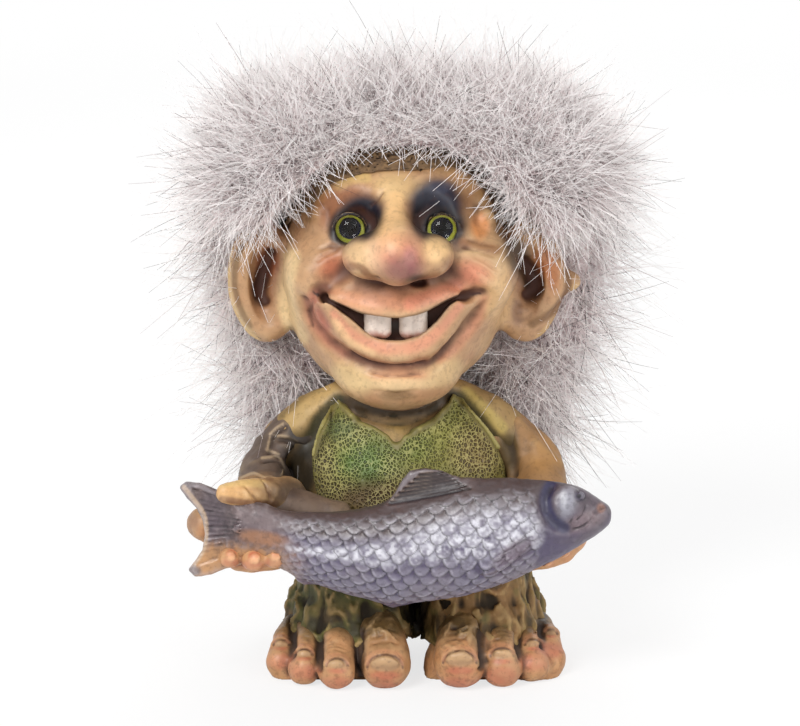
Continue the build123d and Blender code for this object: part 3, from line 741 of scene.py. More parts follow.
def paintBrow(paint):
    # top of the brow and the temples, with painted shade along the hairline and temples and a painted
    # highlight on the left brow ridge
    paint.stroke(
        [(312, 215), (325, 185), (350, 170), (395, 162), (450, 166), (485, 190), (500, 225)], 9,
        (150, 112, 66), 0.7,
    )
    paint.dab((395, 188), (26, 14), (214, 180, 126), 0.7)
    paint.dab((462, 186), (20, 10), (190, 146, 96), 0.7, 30)
    # a painted highlight on the left brow ridge
    paint.stroke([(340, 186), (352, 179), (366, 178)], 5, (214, 182, 118), 0.7)


def paintSockets(paint):
    # brown at the edge, navy within, with a painted highlight at the top of the right socket and painted
    # shade under the eyes
    paint.dab((346, 206), (31, 20), (132, 78, 46), 0.85, -20)
    paint.dab((440, 206), (34, 33), (112, 78, 54), 0.7)
    paint.dab((363, 216), (23, 21), (24, 25, 38), 1.0, 0, 0.35)
    paint.dab((374, 226), (9, 13), (16, 16, 22), 0.9)
    paint.dab((335, 234), (6, 9), (50, 40, 38), 0.8)
    paint.dab((436, 205), (26, 25), (26, 27, 42), 1.0, 0, 0.3)
    paint.dab((420, 222), (8, 16), (14, 15, 22), 0.9)
    paint.dab((444, 226), (21, 19), (24, 25, 32), 0.9)
    # a painted highlight at the top of the right socket
    paint.dab((440, 187), (15, 6), (54, 56, 74), 0.6)
    for px, py in ((350, 228), (442, 228)):
        paint.dab((px, py), (22, 21), (30, 27, 30), 0.95, 0, 0.2)
    paint.stroke([(330, 244), (342, 250), (358, 249)], 3, (190, 140, 96), 0.6)
    # painted shade under the eyes
    paint.stroke([(332, 246), (345, 250), (358, 247)], 4, (96, 66, 48), 0.7)
    paint.dab((458, 246), (12, 6), (92, 68, 58), 0.7)
    paint.stroke([(464, 243), (478, 245), (496, 250)], 5, (132, 88, 56), 0.7)
    paint.dab((480, 226), (9, 13), (198, 126, 70), 0.75)


def paintNose(paint):
    # pale bridge and wings, and a mauve tip, with a painted highlight on the left side and painted shade
    # under the tip, in the nostril and under the left wing
    paint.stroke([(395, 200), (394, 222), (390, 240)], (8, 11, 15), (220, 178, 124), 0.85)
    paint.dab((359, 254), (15, 13), (224, 186, 138), 0.8)
    paint.dab((436, 250), (14, 13), (226, 186, 132), 0.8)
    # a painted highlight on the left side of the nose
    paint.dab((378, 254), (13, 15), (230, 190, 150), 0.8)
    paint.dab((400, 256), (20, 20), (192, 120, 98), 0.85, 0, 0.7)
    # painted shade under the tip
    paint.dab((403, 270), (18, 13), (120, 68, 72), 0.85, 0, 0.6)
    paint.dab((410, 258), (7, 9), (160, 100, 100), 0.6, 0, 0.7)
    paint.dab((390, 244), (10, 8), (222, 168, 122), 0.7, 0, 0.7)
    # painted shade in the nostril
    paint.dab((417, 282), (13, 7), (40, 24, 18), 0.95, -10)
    # painted shade under the left wing
    paint.stroke([(352, 266), (362, 268), (370, 277), (380, 282)], 3.5, (120, 78, 50), 0.7)


def paintCheeks(paint):
    paint.dab((334, 268), (14, 13), (190, 108, 76), 0.85, 30, 0.8)
    paint.dab((343, 274), (7, 13), (98, 60, 40), 0.75, 35, 0.7)
    paint.dab((324, 290), (10, 8), (98, 48, 36), 0.8, 25)
    paint.stroke([(314, 294), (317, 308), (326, 326)], 5, (148, 74, 62), 0.7, 0.9)
    paint.dab((471, 274), (18, 13), (206, 126, 98), 0.85, 10, 0.8)
    paint.dab((452, 268), (7, 11), (104, 66, 48), 0.7, -30, 0.8)
    # a painted highlight along the outer edge of the left cheek
    paint.stroke([(291, 258), (285, 285), (288, 312), (299, 338)], 9, (230, 204, 152), 0.6)
    paint.stroke([(308, 300), (314, 318), (328, 338), (344, 352)], (5, 7, 6, 5), (176, 104, 84), 0.7, 0.9)
    paint.stroke([(486, 298), (476, 320), (460, 342), (440, 358)], (4, 6, 6, 5), (190, 120, 92), 0.6, 0.9)
    paint.dab((500, 300), (14, 26), (222, 184, 132), 0.5)


def paintLips(paint):
    paint.dab((388, 298), (36, 14), (186, 122, 90), 0.75, 0, 0.7)
    paint.dab((366, 286), (16, 9), (150, 100, 66), 0.6, 20, 0.7)
    paint.dab((432, 280), (12, 7), (120, 72, 48), 0.7, -20, 0.7)
    paint.stroke([(338, 296), (356, 304), (376, 311)], 8, (214, 150, 112), 0.6)
    paint.stroke([(412, 304), (432, 296), (456, 286)], 8, (210, 132, 104), 0.75)
    paint.stroke(
        [(334, 314), (350, 333), (374, 346), (400, 349), (424, 343), (443, 326), (460, 306)],
        (4, 5, 6, 6.5, 6, 5, 4), (206, 138, 110), 0.75, 0.7,
    )
    paint.stroke([(336, 322), (350, 342), (372, 353)], 3.5, (226, 186, 138), 0.6, 0.8)
    paint.stroke([(350, 354), (374, 363), (400, 366), (426, 361)], 4.5, (140, 82, 62), 0.7, 0.8)


def paintChin(paint):
    paint.dab((398, 376), (30, 7), (204, 142, 104), 0.6)
    paint.dab((398, 395), (17, 5), (112, 82, 46), 0.8)
    # painted highlights on the chin
    paint.dab((400, 384), (34, 6), (230, 198, 148), 0.6)
    paint.dab((352, 378), (22, 12), (216, 190, 136), 0.5, 25)
    paint.dab((446, 374), (22, 12), (216, 188, 136), 0.5, -25)


def paintEars(paint):
    paint.dab((268, 278), (13, 32), (140, 86, 58), 0.7, 12, 0.7)
    # painted shade deep in the left ear's hollow
    paint.dab((262, 280), (7, 24), (34, 24, 18), 0.95, 14)
    paint.dab((268, 262), (12, 14), (132, 66, 42), 0.7)
    paint.stroke([(242, 246), (236, 264), (235, 288), (241, 310), (250, 326)], 3, (92, 62, 32), 0.8)
    paint.stroke([(229, 250), (227, 285), (236, 318), (256, 340)], 4, (224, 194, 136), 0.6)
    paint.dab((530, 282), (16, 24), (120, 76, 50), 0.7, 0, 0.7)
    # painted shade deep in the right ear's hollow
    paint.dab((533, 284), (10, 15), (30, 24, 20), 0.95)
    paint.dab((519, 258), (12, 26), (46, 30, 20), 0.85, -25)
    paint.dab((548, 266), (12, 22), (164, 92, 44), 0.7, -20)
    paint.stroke([(566, 272), (568, 290), (552, 312), (532, 324)], 4, (116, 80, 44), 0.75)
    paint.stroke([(576, 288), (562, 314), (540, 338)], 4, (212, 176, 118), 0.7)
    paint.dab((517, 312), (6, 12), (112, 74, 52), 0.6)


def paintMouth(paint):
    paint.stroke(
        [
            (314, 293), (328, 300), (342, 308), (358, 317), (376, 326), (395, 329), (414, 326), (431, 317),
            (449, 302), (466, 295), (480, 293),
        ],
        (1.2, 2.2, 3.6, 6, 10.6, 11, 11, 8, 3.4, 2.4, 1.2), (32, 18, 13), 0.95, 0.25,
    )


def makeHead():
    piece, points, normals = sculpted("headCasting", shapeHead(), "head")
    paint = Paint(points, normals, headLook["skin"])
    paint.mottle(9, (200, 168, 126), 0.7, 3)
    paint.mottle(5, (168, 118, 82), 0.5, 4)
    paint.mottle(1.6, (150, 104, 72), 0.25, 5, 0.2, 0.9)
    layers = (paintBrow, paintSockets, paintNose, paintCheeks, paintLips, paintChin, paintEars, paintMouth)
    for layer in layers:
        layer(paint)
    finishPaint(piece, paint, paintedCast("paintedSkin", headLook))


makeHead()

# glass eyes: a lathe-turned dome over the painted disc
eyeLook = {
    "centres": {side: (x, -15.6, 99.02) for side, x in zip(("right", "left"), headLook["eyePlaces"])},
    # the iris and pupil discs glow a little, as painted light
    "radius": 3.1, "edge": 1.2, "dome": 1.8, "paintedGlow": 0.18,
    "ior": 1.27, "ringReach": (1.9, 2.1, 2.85, 3.05),
    "middle": (5, 5, 8), "inner": (10, 12, 34), "ring": (166, 168, 58), "ringEdge": (54, 54, 24),
}


def turned(name, centre, profile, steps=64):
    # a profile of radius and depth spun about the Y axis
    points, faces = [], []
    for radius, depth in profile:
        for step in range(steps):
            angle = 2 * math.pi * step / steps
            points.append(np.add(centre, (radius * math.cos(angle), -depth, radius * math.sin(angle))))
    rings = [[ring * steps + step for step in range(steps)] for ring in range(len(profile))]
    for inner, outer in zip(rings, rings[1:]):
        for step in range(steps):
            after = (step + 1) % steps
            faces.append((inner[step], inner[after], outer[after], outer[step]))
    return makeMesh(name, points, faces + [rings[0][::-1], rings[-1]])


def makeEyes():
    glass, tree, shader, place = newMaterial("clearGlass")
    shader.inputs["Transmission Weight"].default_value = 1.0
    shader.inputs["IOR"].default_value = eyeLook["ior"]
    link(tree, ramped(tree, noise(tree, place, 500, 3), 0.0, 6.0), shader.inputs["Roughness"])
    ringStart, ringFull, edgeStart, edgeFull = eyeLook["ringReach"]
    for side, centre in eyeLook["centres"].items():
        radius, rim, dome = eyeLook["radius"], eyeLook["edge"], eyeLook["dome"]
        ball = (radius**2 + dome**2) / (2 * dome)
        profile = [(radius - 0.02, 0.02), (radius, 0.06), (radius, rim * 0.6)]
        widest = math.asin(radius / ball)
        for step in range(11):
            angle = widest * (1 - step / 10.3)
            profile.append((ball * math.sin(angle), rim + dome - ball + ball * math.cos(angle)))
        eye = turned(f"{side}EyeGlass", centre, profile)
        eye.data.materials.append(glass)
        dressed(eye, f"{side}_eye_glass")
        for node in ("iris", "pupil"):
            material, tree, shader, place = newMaterial(f"{side}{node.capitalize()}")
            # the distance from the eye's middle, in mm, a little broken up
            offset = vectorMaths(tree, "SUBTRACT", place, [length * mm for length in centre])
            flat = vectorMaths(tree, "MULTIPLY", offset, (1 / mm, 0, 1 / mm))
            away = vectorMaths(tree, "LENGTH", flat, output="Value")
            streak = maths(tree, "SUBTRACT", noise(tree, place, 1500, 2), 0.5)
            away = maths(tree, "ADD", away, maths(tree, "MULTIPLY", streak, 0.25))
            inner = ramped(tree, away, 0.9, ringStart)
            colour = mixColour(tree, inner, shade(eyeLook["middle"]), shade(eyeLook["inner"]))
            ring = ramped(tree, away, ringStart, ringFull)
            colour = mixColour(tree, ring, colour, shade(eyeLook["ring"]))
            edge = ramped(tree, away, edgeStart, edgeFull)
            colour = mixColour(tree, edge, colour, shade(eyeLook["ringEdge"]))
            link(tree, colour, shader.inputs["Base Color"])
            # a faint glow in the disc's own colour paints the light that the glass keeps from it
            link(tree, colour, shader.inputs["Emission Color"])
            shader.inputs["Emission Strength"].default_value = eyeLook["paintedGlow"]
            shader.inputs["Roughness"].default_value = 0.4
            shader.inputs["Specular IOR Level"].default_value = 0.15
            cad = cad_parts[f"{side}_eye_{node}"]
            cad.data.materials.clear()
            cad.data.materials.append(material)
    print("eyes done")


makeEyes()

# teeth: two worn pegs
toothLook = {
    "cell": 0.2,
    "enamel": (226, 212, 200), "gum": (186, 128, 112),
    # the wash below also paints shade in the hollows, the rub also paints highlights on the ridges
    "washAndShadeColour": (92, 58, 44), "washAndShade": 0.6, "rubAndHighlightColour": (240, 230, 220), "rubAndHighlight": 0.5,
    "speckle": 0.25, "gloss": 0.3, "grain": 0.06, "specular": 0.5,
}


def makeTeeth():
    material = paintedCast("paintedTooth", toothLook)
    for side, left, right, top in (("right", -9.75, -3.95, 83.0), ("left", -2.35, 3.75, 83.4)):
        middle = (left + right) / 2
        half = (right - left) / 2
        clay = Clay((left - 1, -23.2, 75.6), (right + 1, -18.6, 85), toothLook["cell"])
        for x in (-half + 1.5, -half / 3, half / 3, half - 1.5):
            clay.add(limb([(middle + x, -20.7, 77.8), (middle + x * 0.97, -20.5, top - 1.0)], 1.45), 0.9)
        clay.roughen((0.1, 1.1, 5 + left))
        piece, points, normals = sculpted(f"{side}FrontTooth", clay, f"{side}_tooth", 0.3, 0.8)
        paint = Paint(points, normals, toothLook["enamel"])
        low = 1 - smooth(points[:, 2] + 0.5 * lumps(*points.T, 1.0, 3), 77.2, 78.4)
        paint.cover(low, toothLook["gum"], 0.8)
        finishPaint(piece, paint, material)


makeTeeth()


def outlineDistance(u, v, corners):
    # distance to a closed outline, negative inside it
    corners = np.array(corners, float)
    nearest, inside = 1e3, np.zeros(np.broadcast(u, v).shape, bool)
    for start, end in zip(corners, np.roll(corners, -1, 0)):
        run = end - start
        nearest = np.minimum(nearest, besideRun((u, v), start, end)[1])
        if start[1] != end[1]:
            inside ^= ((start[1] > v) != (end[1] > v)) & (u < run[0] * (v - start[1]) / run[1] + start[0])
    return np.where(inside, -nearest, nearest)


def onPlane(px, py, y):
    # the x and z at which a pixel's line of sight meets a plane of one y
    ray = sightLine(px, py)
    point = eyePoint + ray * (y - eyePoint[1]) / ray[1]
    return point[0], point[2]


def plate(corners, y, thickness, round=0.4):
    # a flat fin with a rounded edge; its corners are x and z
    corners = np.array(corners, float)

    def distance(x, yy, z):
        flat = outlineDistance(x, z, corners) + round
        deep = np.abs(yy - y) - thickness / 2 + round
        outside = np.sqrt(np.maximum(flat, 0) ** 2 + np.maximum(deep, 0) ** 2)
        return outside + np.minimum(np.maximum(flat, deep), 0) - round

    low = np.array([corners[:, 0].min(), y - thickness, corners[:, 1].min()])
    high = np.array([corners[:, 0].max(), y + thickness, corners[:, 1].max()])
    return distance, low, high


def sightCut(corners, frontY, backY, low, high):
    # what lies behind an outline drawn on the photograph, between two depths
    def distance(x, y, z):
        px, py = onPhoto(np.stack(np.broadcast_arrays(x, y, z), -1))
        flat = outlineDistance(px, py, corners) * pixel
        return np.maximum(flat, np.maximum(frontY - y, y - backY))

    return distance, np.array(low, float), np.array(high, float)


# torso: neck and bare shoulders
torsoLook = {
    "cell": 0.62,
    "skin": (158, 128, 82),
    # the wash below also paints shade in the hollows, the rub also paints highlights on the ridges
    "washAndShadeColour": (46, 38, 22), "washAndShade": 0.95, "rubAndHighlightColour": (206, 176, 122), "rubAndHighlight": 0.4,
    "speckle": 0.3, "gloss": 0.45, "grain": 0.05, "specular": 0.4,
}
torsoPlace = (-2.0, -1.0, 31.0)
torsoSize = (30.5, 24.5, 20.0, 19.0)
torsoLevels = (
    (0.00, 0.96, 0.94, 0.93), (0.24, 1.00, 1.00, 1.00), (0.50, 0.96, 0.90, 0.97),
    (0.72, 0.84, 0.70, 0.82), (0.88, 0.62, 0.56, 0.62), (1.00, 0.47, 0.55, 0.52),
)
shoulderPoints = ((11, -2.5, 58.0), (19, -2.0, 53.4), (24.5, -1.0, 48.0))


def makeTorso():
    clay = Clay((-34, -25, 31), (30, 22, 71), torsoLook["cell"])
    clay.add(levelForm(torsoPlace, torsoSize, torsoLevels), 0.1)
    clay.add(limb([(-3, -3, 58), (-3, -3, 70)], (9.5, 9.5)), 2.5)
    for side in (-1, 1):
        slope = [(torsoPlace[0] + side * x, y, z) for x, y, z in shoulderPoints]
        clay.add(limb(slope, (5.0, 5.8, 6.0)), 1.6)
    for fold in (
        [(352, 408), (372, 414), (398, 416), (424, 412), (442, 402)],
        [(356, 414), (376, 421), (398, 424), (420, 419), (438, 409)],
    ):
        clay.groove(fold, 0.4, 0.7, -0.05)
    clay.groove([(338, 402), (322, 420), (312, 440)], 1.6, 2.0, -0.6)
    clay.groove([(456, 398), (476, 420), (490, 442)], 1.6, 2.0, -0.6)
    clay.roughen((0.3, 4.0, 11), (0.12, 1.6, 12))
    piece, points, normals = sculpted("torsoCasting", clay, "torso")
    paint = Paint(points, normals, torsoLook["skin"])
    paint.mottle(4, (112, 92, 48), 0.75, 2)
    neck = smooth(points[:, 2], 52, 57) * (1 - smooth(np.abs(points[:, 0] - headPlace[0]), 9, 13))
    paint.cover(neck, (112, 84, 46), 0.85)
    # a painted shadow under the chin
    paint.stroke([(345, 402), (370, 408), (398, 410), (424, 407), (450, 396)], 7, (44, 32, 20), 0.85)
    paint.dab((398, 432), (14, 8), (160, 130, 74), 0.6)
    paint.stroke([(330, 391), (312, 404), (292, 422)], 8, (196, 164, 106), 0.8)
    # painted shade down the side of the left shoulder, beside the vest
    paint.stroke([(337, 400), (322, 416), (312, 436), (306, 452)], 7, (40, 46, 26), 0.85)
    paint.stroke([(466, 393), (484, 410), (502, 428)], 6, (188, 164, 88), 0.8)
    # painted shade down the side of the right shoulder, beside the vest
    paint.stroke([(458, 398), (474, 416), (490, 436), (502, 452)], 8, (52, 52, 28), 0.85)
    # painted shade in the gaps between the vest and the sleeves
    paint.dab((302, 470), (18, 34), (34, 28, 20), 0.95)
    paint.dab((512, 466), (12, 34), (62, 52, 30), 0.9)
    finishPaint(piece, paint, paintedCast("paintedShoulders", torsoLook))


# vest: knitted relief under a smooth leaf-like rim
vestLook = {
    "cell": 0.42, "thickness": 1.3,
    # the ridge colour paints highlights on the knitted cords, the pit colour a wash and shade in the pits
    "knit": (116, 112, 50), "rim": (116, 106, 60), "ridge": (186, 178, 112), "pit": (46, 36, 18),
    # the wash below also paints shade in the hollows, the rub also paints highlights on the ridges
    "washAndShadeColour": (58, 44, 22), "washAndShade": 0.9, "rubAndHighlightColour": (176, 164, 96), "rubAndHighlight": 0.4,
    "speckle": 0.1, "gloss": 0.42, "grain": 0.05, "specular": 0.4,
    "pitSize": 0.76, "pitDepth": 0.34, "wobble": 0.6, "squeeze": (1.12, 0.55, 0.96),
}
neckline = [
    (338, 397), (345, 408), (356, 419), (375, 426), (388, 434), (397, 446), (404, 436), (414, 432),
    (433, 421), (446, 408), (453, 392),
]
vestSideLeft = [(338, 397), (325, 420), (317, 437), (313, 455), (313, 480), (318, 505)]
vestSideRight = [(453, 392), (470, 410), (487, 430), (498, 447), (505, 465), (508, 500)]


def vestMaterial():
    material = paintedCast("knittedVest", vestLook)
    tree = material.node_tree
    shader = tree.nodes["Principled BSDF"]
    place = [node for node in tree.nodes if node.type == "TEX_COORD"][0].outputs["Object"]
    knit = value(tree, "knit")
    wobble = addNode(tree, "ShaderNodeTexNoise", {"Vector": place, "Scale": 350, "Detail": 1})
    shift = vectorMaths(tree, "MULTIPLY", wobble.outputs["Color"], [vestLook["wobble"] * mm] * 3)
    spot = vectorMaths(tree, "ADD", place, shift)
    inputs = {
        "Vector": vectorMaths(tree, "MULTIPLY", spot, vestLook["squeeze"]),
        "Scale": 1 / (vestLook["pitSize"] * mm),
    }
    away = addNode(tree, "ShaderNodeTexVoronoi", inputs, feature="DISTANCE_TO_EDGE").outputs["Distance"]
    patchy = noise(tree, place, 160, 3)
    # pale cords between the pits, as painted highlights, and dark pits, as a wash and painted shade, both
    # patchy
    net = maths(tree, "SUBTRACT", 0.6, ramped(tree, away, 0.0, 0.2))
    net = maths(tree, "MULTIPLY", maths(tree, "MULTIPLY", net, knit, True), ramped(tree, patchy, 0.35, 0.65))
    colour = mixColour(tree, net, shader.inputs["Base Color"].links[0].from_socket, shade(vestLook["ridge"]))
    # the pits darken: a wash and painted shade
    pit = maths(tree, "MULTIPLY", ramped(tree, away, 0.08, 0.34), knit)
    depth = maths(tree, "MULTIPLY", pit, maths(tree, "MULTIPLY", patchy, 1.1))
    colour = mixColour(tree, depth, colour, shade(vestLook["pit"]))
    link(tree, colour, shader.inputs["Base Color"])
    bump = addNode(tree, "ShaderNodeBump", {"Strength": 1.0, "Distance": vestLook["pitDepth"] * mm})
    link(tree, maths(tree, "SUBTRACT", 1.0, pit), bump.inputs["Height"])
    link(tree, shader.inputs["Normal"].links[0].from_socket, bump.inputs["Normal"])
    link(tree, bump.outputs["Normal"], shader.inputs["Normal"])
    return material


def makeVest():
    clay = Clay((-31, -25, 30), (27, 22, 64), vestLook["cell"])
    clay.add(levelForm(torsoPlace, torsoSize, torsoLevels, vestLook["thickness"]), 0.1)
    box = ((-33, -26, 29), (29, 23, 66))
    clay.cut(sightCut(neckline + [(470, 340), (320, 340)], -40, 2, *box), 0.5)
    clay.cut(sightCut(vestSideLeft + [(240, 505), (240, 350), (338, 350)], -40, 40, *box), 0.6)
    clay.cut(sightCut(vestSideRight + [(580, 500), (580, 350), (453, 350)], -40, 40, *box), 0.6)
    x, y, z = clay.grid()[1:]
    clay.field = np.maximum(clay.field, -np.maximum(59.5 - z, 1.0 - y))
    for rim, radius in ((neckline, 0.8), (vestSideLeft[:4], 0.5), (vestSideRight[:4], 0.5)):
        clay.ridge(rim, radius, 0.8, 0.7)
    turns = np.radians(np.linspace(0, 360, 33))
    hem = [(torsoPlace[0] + 24.2 * math.cos(a), torsoPlace[1] + 19.4 * math.sin(a), 32.0) for a in turns]
    clay.add(limb(hem, 1.0), 0.8)
    clay.roughen((0.3, 6.0, 21))
    piece, points, normals = sculpted("knittedVest", clay, "vest", 0.6, 1.8)
    paint = Paint(points, normals, vestLook["knit"])
    paint.dab((364, 464), (30, 26), (74, 102, 34), 0.9, 0, 0.7)
    paint.dab((412, 446), (20, 16), (92, 108, 40), 0.7, 0, 0.7)
    paint.dab((342, 428), (14, 12), (66, 88, 52), 0.7, 0, 0.7)
    paint.dab((455, 428), (22, 26), (128, 128, 56), 0.7, 0, 0.7)
    paint.dab((478, 452), (24, 28), (122, 98, 58), 0.85, 0, 0.7)
    paint.dab((400, 500), (90, 20), (92, 68, 44), 0.9, 0, 0.7)
    paint.dab((322, 474), (12, 34), (84, 74, 42), 0.8, 0, 0.7)
    away = 1e3
    for rim in (neckline, vestSideLeft[:4], vestSideRight[:4]):
        for start, end in zip(rim, rim[1:]):
            away = np.minimum(away, besideRun((paint.px, paint.py), start, end)[1])
    rimMask = (1 - smooth(away, 3.0, 5.5)) * paint.front
    paint.cover(rimMask, vestLook["rim"], 0.9)
    keepValues(piece, "knit", 1 - rimMask)
    finishPaint(piece, paint, vestMaterial())


# fish
fishLook = {
    "cell": 0.27, "scaleHeight": 4.0, "scaleWidth": 3.7, "relief": 0.26,
    "back": (74, 60, 58), "band": (186, 184, 194), "belly": (80, 72, 96), "line": (20, 18, 26),
    # the wash below also paints shade in the hollows, the rub also paints highlights on the ridges
    "washAndShadeColour": (34, 28, 34), "washAndShade": 0.8, "rubAndHighlightColour": (196, 192, 200), "rubAndHighlight": 0.22,
    "speckle": 0.3, "gloss": 0.3, "grain": 0.06, "specular": 0.5,
}
fishPlace = (3.0, -29.6, 34.5)
fishSize = (79.0, 12.5, 7.4)
fishShares = (
    (0.000, 0.24, 0.40, 0.30), (0.150, -0.08, 0.55, 0.58), (0.280, -0.22, 0.70, 0.80),
    (0.410, -0.26, 0.88, 0.96), (0.600, 0.00, 1.00, 1.00), (0.735, 0.18, 0.88, 0.98),
    (0.835, 0.31, 0.71, 0.88), (0.930, 0.42, 0.48, 0.64), (1.000, 0.44, 0.10, 0.20),
)
fishTable = np.array(fishShares).T
fishStations = np.linspace(0, 1, 200)
fishRows = [rounded(np.interp(fishStations, fishTable[0], column), 7) for column in fishTable[1:]]


def fishAt(x):
    share = (x - fishPlace[0]) / fishSize[0] + 0.5
    rise, high, thick = (np.interp(share, fishStations, row) for row in fishRows)
    return fishPlace[2] + rise * fishSize[1], high * fishSize[1], thick * fishSize[2]


def fishForm():
    left, right = fishPlace[0] - fishSize[0] / 2, fishPlace[0] + fishSize[0] / 2

    def distance(x, y, z):
        middle, high, thick = fishAt(x)
        up, deep = z - middle, y - fishPlace[1]
        near = np.sqrt((up / high) ** 2 + (deep / thick) ** 2) + 1e-6
        away = np.sqrt(up**2 + deep**2)
        sides = np.where(near < 0.05, -np.minimum(high, thick), away - away / near)
        ends = np.maximum(left - x, x - right) + 0 * sides
        return -softMin(-sides, -ends, 1.5)

    return distance, np.array([left, -38.0, 20.0]), np.array([right, -21.0, 50.0])


def scaleRelief(a, b):
    # overlapping scales: height, a dark line at each free edge that is both an outline and a painted shadow,
    # a pale rim that is partly a painted highlight, and a tint for each
    length, wide = fishLook["scaleHeight"], fishLook["scaleWidth"]
    top = np.full(a.shape, -1e9)
    rise, edge, rim, tint = (np.zeros(a.shape) for _ in range(4))
    rowOf = np.floor(b / wide * 2)
    for rowStep in (-2, -1, 0, 1, 2, 3):
        rowPlace = rowOf + rowStep
        shift = (rowPlace % 2) * 0.5
        columnOf = np.floor(a / length - shift)
        for columnStep in (-1, 0, 1, 2):
            column = columnOf + columnStep
            chance = np.abs(np.sin(rowPlace * 12.99 + column * 78.23) * 437.58) % 1
            centreA = (column + shift + 0.12 * (chance - 0.5)) * length
            da, db = (a - centreA) / (length * 0.72), (b - rowPlace * wide / 2) / (wide * 0.56)
            away = np.sqrt(da**2 + db**2)
            inside = (away < 1) & (centreA > top)
            top = np.where(inside, centreA, top)
            free = smooth(-da, -0.15, 0.3)
            rise = np.where(inside, smooth(-da, -0.9, 0.9), rise)
            edge = np.where(inside, smooth(away, 0.84, 0.96) * free, edge)
            rim = np.where(inside, smooth(away, 0.6, 0.76) * (1 - smooth(away, 0.78, 0.88)) * free, rim)
            tint = np.where(inside, chance, tint)
    return rise, edge, rim, tint


def shapeFins(clay):
    flat = fishPlace[1]
    tail = [
        (262, 510), (236, 503), (218, 490), (200, 483), (186, 482), (180, 487), (187, 498), (197, 508),
        (203, 520), (205, 534), (202, 550), (194, 562), (188, 570), (195, 576), (212, 574), (232, 566),
        (262, 554),
    ]
    clay.add(plate([onPlane(px, py, flat) for px, py in tail], flat, 2.4, 0.9), 4.5)
    dorsal = [
        (380, 512), (394, 494), (403, 479), (410, 471), (425, 468), (441, 471), (462, 479), (486, 482),
        (510, 484), (520, 494), (470, 512),
    ]
    clay.add(plate([onPlane(px, py, flat) for px, py in dorsal], flat, 2.2, 0.8), 2.4)
    for fin in (
        [(296, 568), (297, 580), (304, 584), (322, 580), (345, 572), (330, 562)],
        [(366, 590), (385, 602), (392, 607), (410, 600), (420, 590), (392, 580)],
    ):
        clay.add(plate([onPlane(px, py, flat) for px, py in fin], flat, 2.2, 0.8), 2.0)
    clay.add(egg((36.4, flat, 39.2), (5.0, 3.4, 3.8)), 2.0)
    clay.add(egg(clay.seat(510, 553, 0.8), (7.5, 1.6, 2.2), (0, -33, 0)), 0.7)
    # their ribs
    rimLine = ((486, 500, 515, 530, 545, 562), (187, 197, 203, 205, 202, 194))
    ribs = []
    for step in range(15):
        py = 490 + 5.3 * step
        px = np.interp(py, *rimLine) + 4
        ribs.append((px, py, px + 34, 528 + (py - 528) * 0.66))
    ribs += [(390 + 5 * i, 503 - 4.6 * i, 470 - 4.5 * i, 489 - 2.8 * i) for i in range(7)]
    ribs += [(532, 537 + 4.4 * i, 494 + 2 * i, 558 + 4.2 * i) for i in range(4)]
    for px, py, endX, endY in ribs:
        line = [(px, py), ((px + endX) / 2, (py + endY) / 2), (endX, endY)]
        clay.groove(line, (0.34, 0.38, 0.12), 0.5)


def shapeFishHead(clay):
    # gill cover, cheek plate, eye and mouth
    gill = [(551, 487), (546, 497), (546, 508), (551, 518), (560, 526), (571, 531)]
    clay.groove(gill, (0.8, 1.3, 1.5, 1.5, 1.2, 0.7), 2.0, -0.3)
    clay.add(egg(clay.seat(567, 504, 1.3), (3.4, 2.1, 3.9)), 1.6)
    clay.add(egg(clay.seat(580, 496, 0.3), 0.95), 0.2)
    turns = np.linspace(0, 2 * math.pi, 13)
    clay.groove([(580 + 5.4 * math.cos(a), 496 + 5.0 * math.sin(a)) for a in turns], 0.22, 0.4, -0.05)
    clay.groove([(595, 513), (600, 510), (605, 507)], 0.35, 0.4, -0.1)
    for line in (
        [(586, 506), (583, 514), (577, 520)], [(592, 519), (584, 526), (574, 529)], [(574, 516), (570, 523)],
    ):
        clay.groove(line, 0.22, 0.5)


def scalesOn(points):
    # how high up the side each point lies, how far it is scaled, and its place on its scale
    flat = fishPlace[1]
    middle, high, thick = fishAt(points[:, 0])
    up = (points[:, 2] - middle) / high
    side = np.arctan2(points[:, 2] - middle, np.abs(points[:, 1] - flat) * high / thick + 1e-6)
    # the scales shrink towards the tail
    line = np.linspace(-45, 45, 400)
    sizes = np.interp(line, [-38, -26, -10, 12, 30], [0.5, 0.66, 0.95, 1.05, 0.8])
    warp = np.cumsum(1 / sizes) * (line[1] - line[0])
    across = np.interp(points[:, 0], line, warp)
    above = side * 10.4
    a = above * 0.97 + across * 0.25 + 0.25 * lumps(*points.T, 3.0, 33)
    b = across * 0.97 - above * 0.25 + 0.25 * lumps(*points.T, 3.0, 34)
    body = smooth(points[:, 0], -31, -22) * (1 - smooth(points[:, 0] + 0.25 * np.abs(up) * 10, 26.5, 29.5))
    body *= (1 - smooth(up, 0.74, 0.96)) * (1 - smooth(-up, 0.94, 1.04))
    body *= np.abs(points[:, 1] - flat) > 1.05
    return up, body, scaleRelief(a, b)


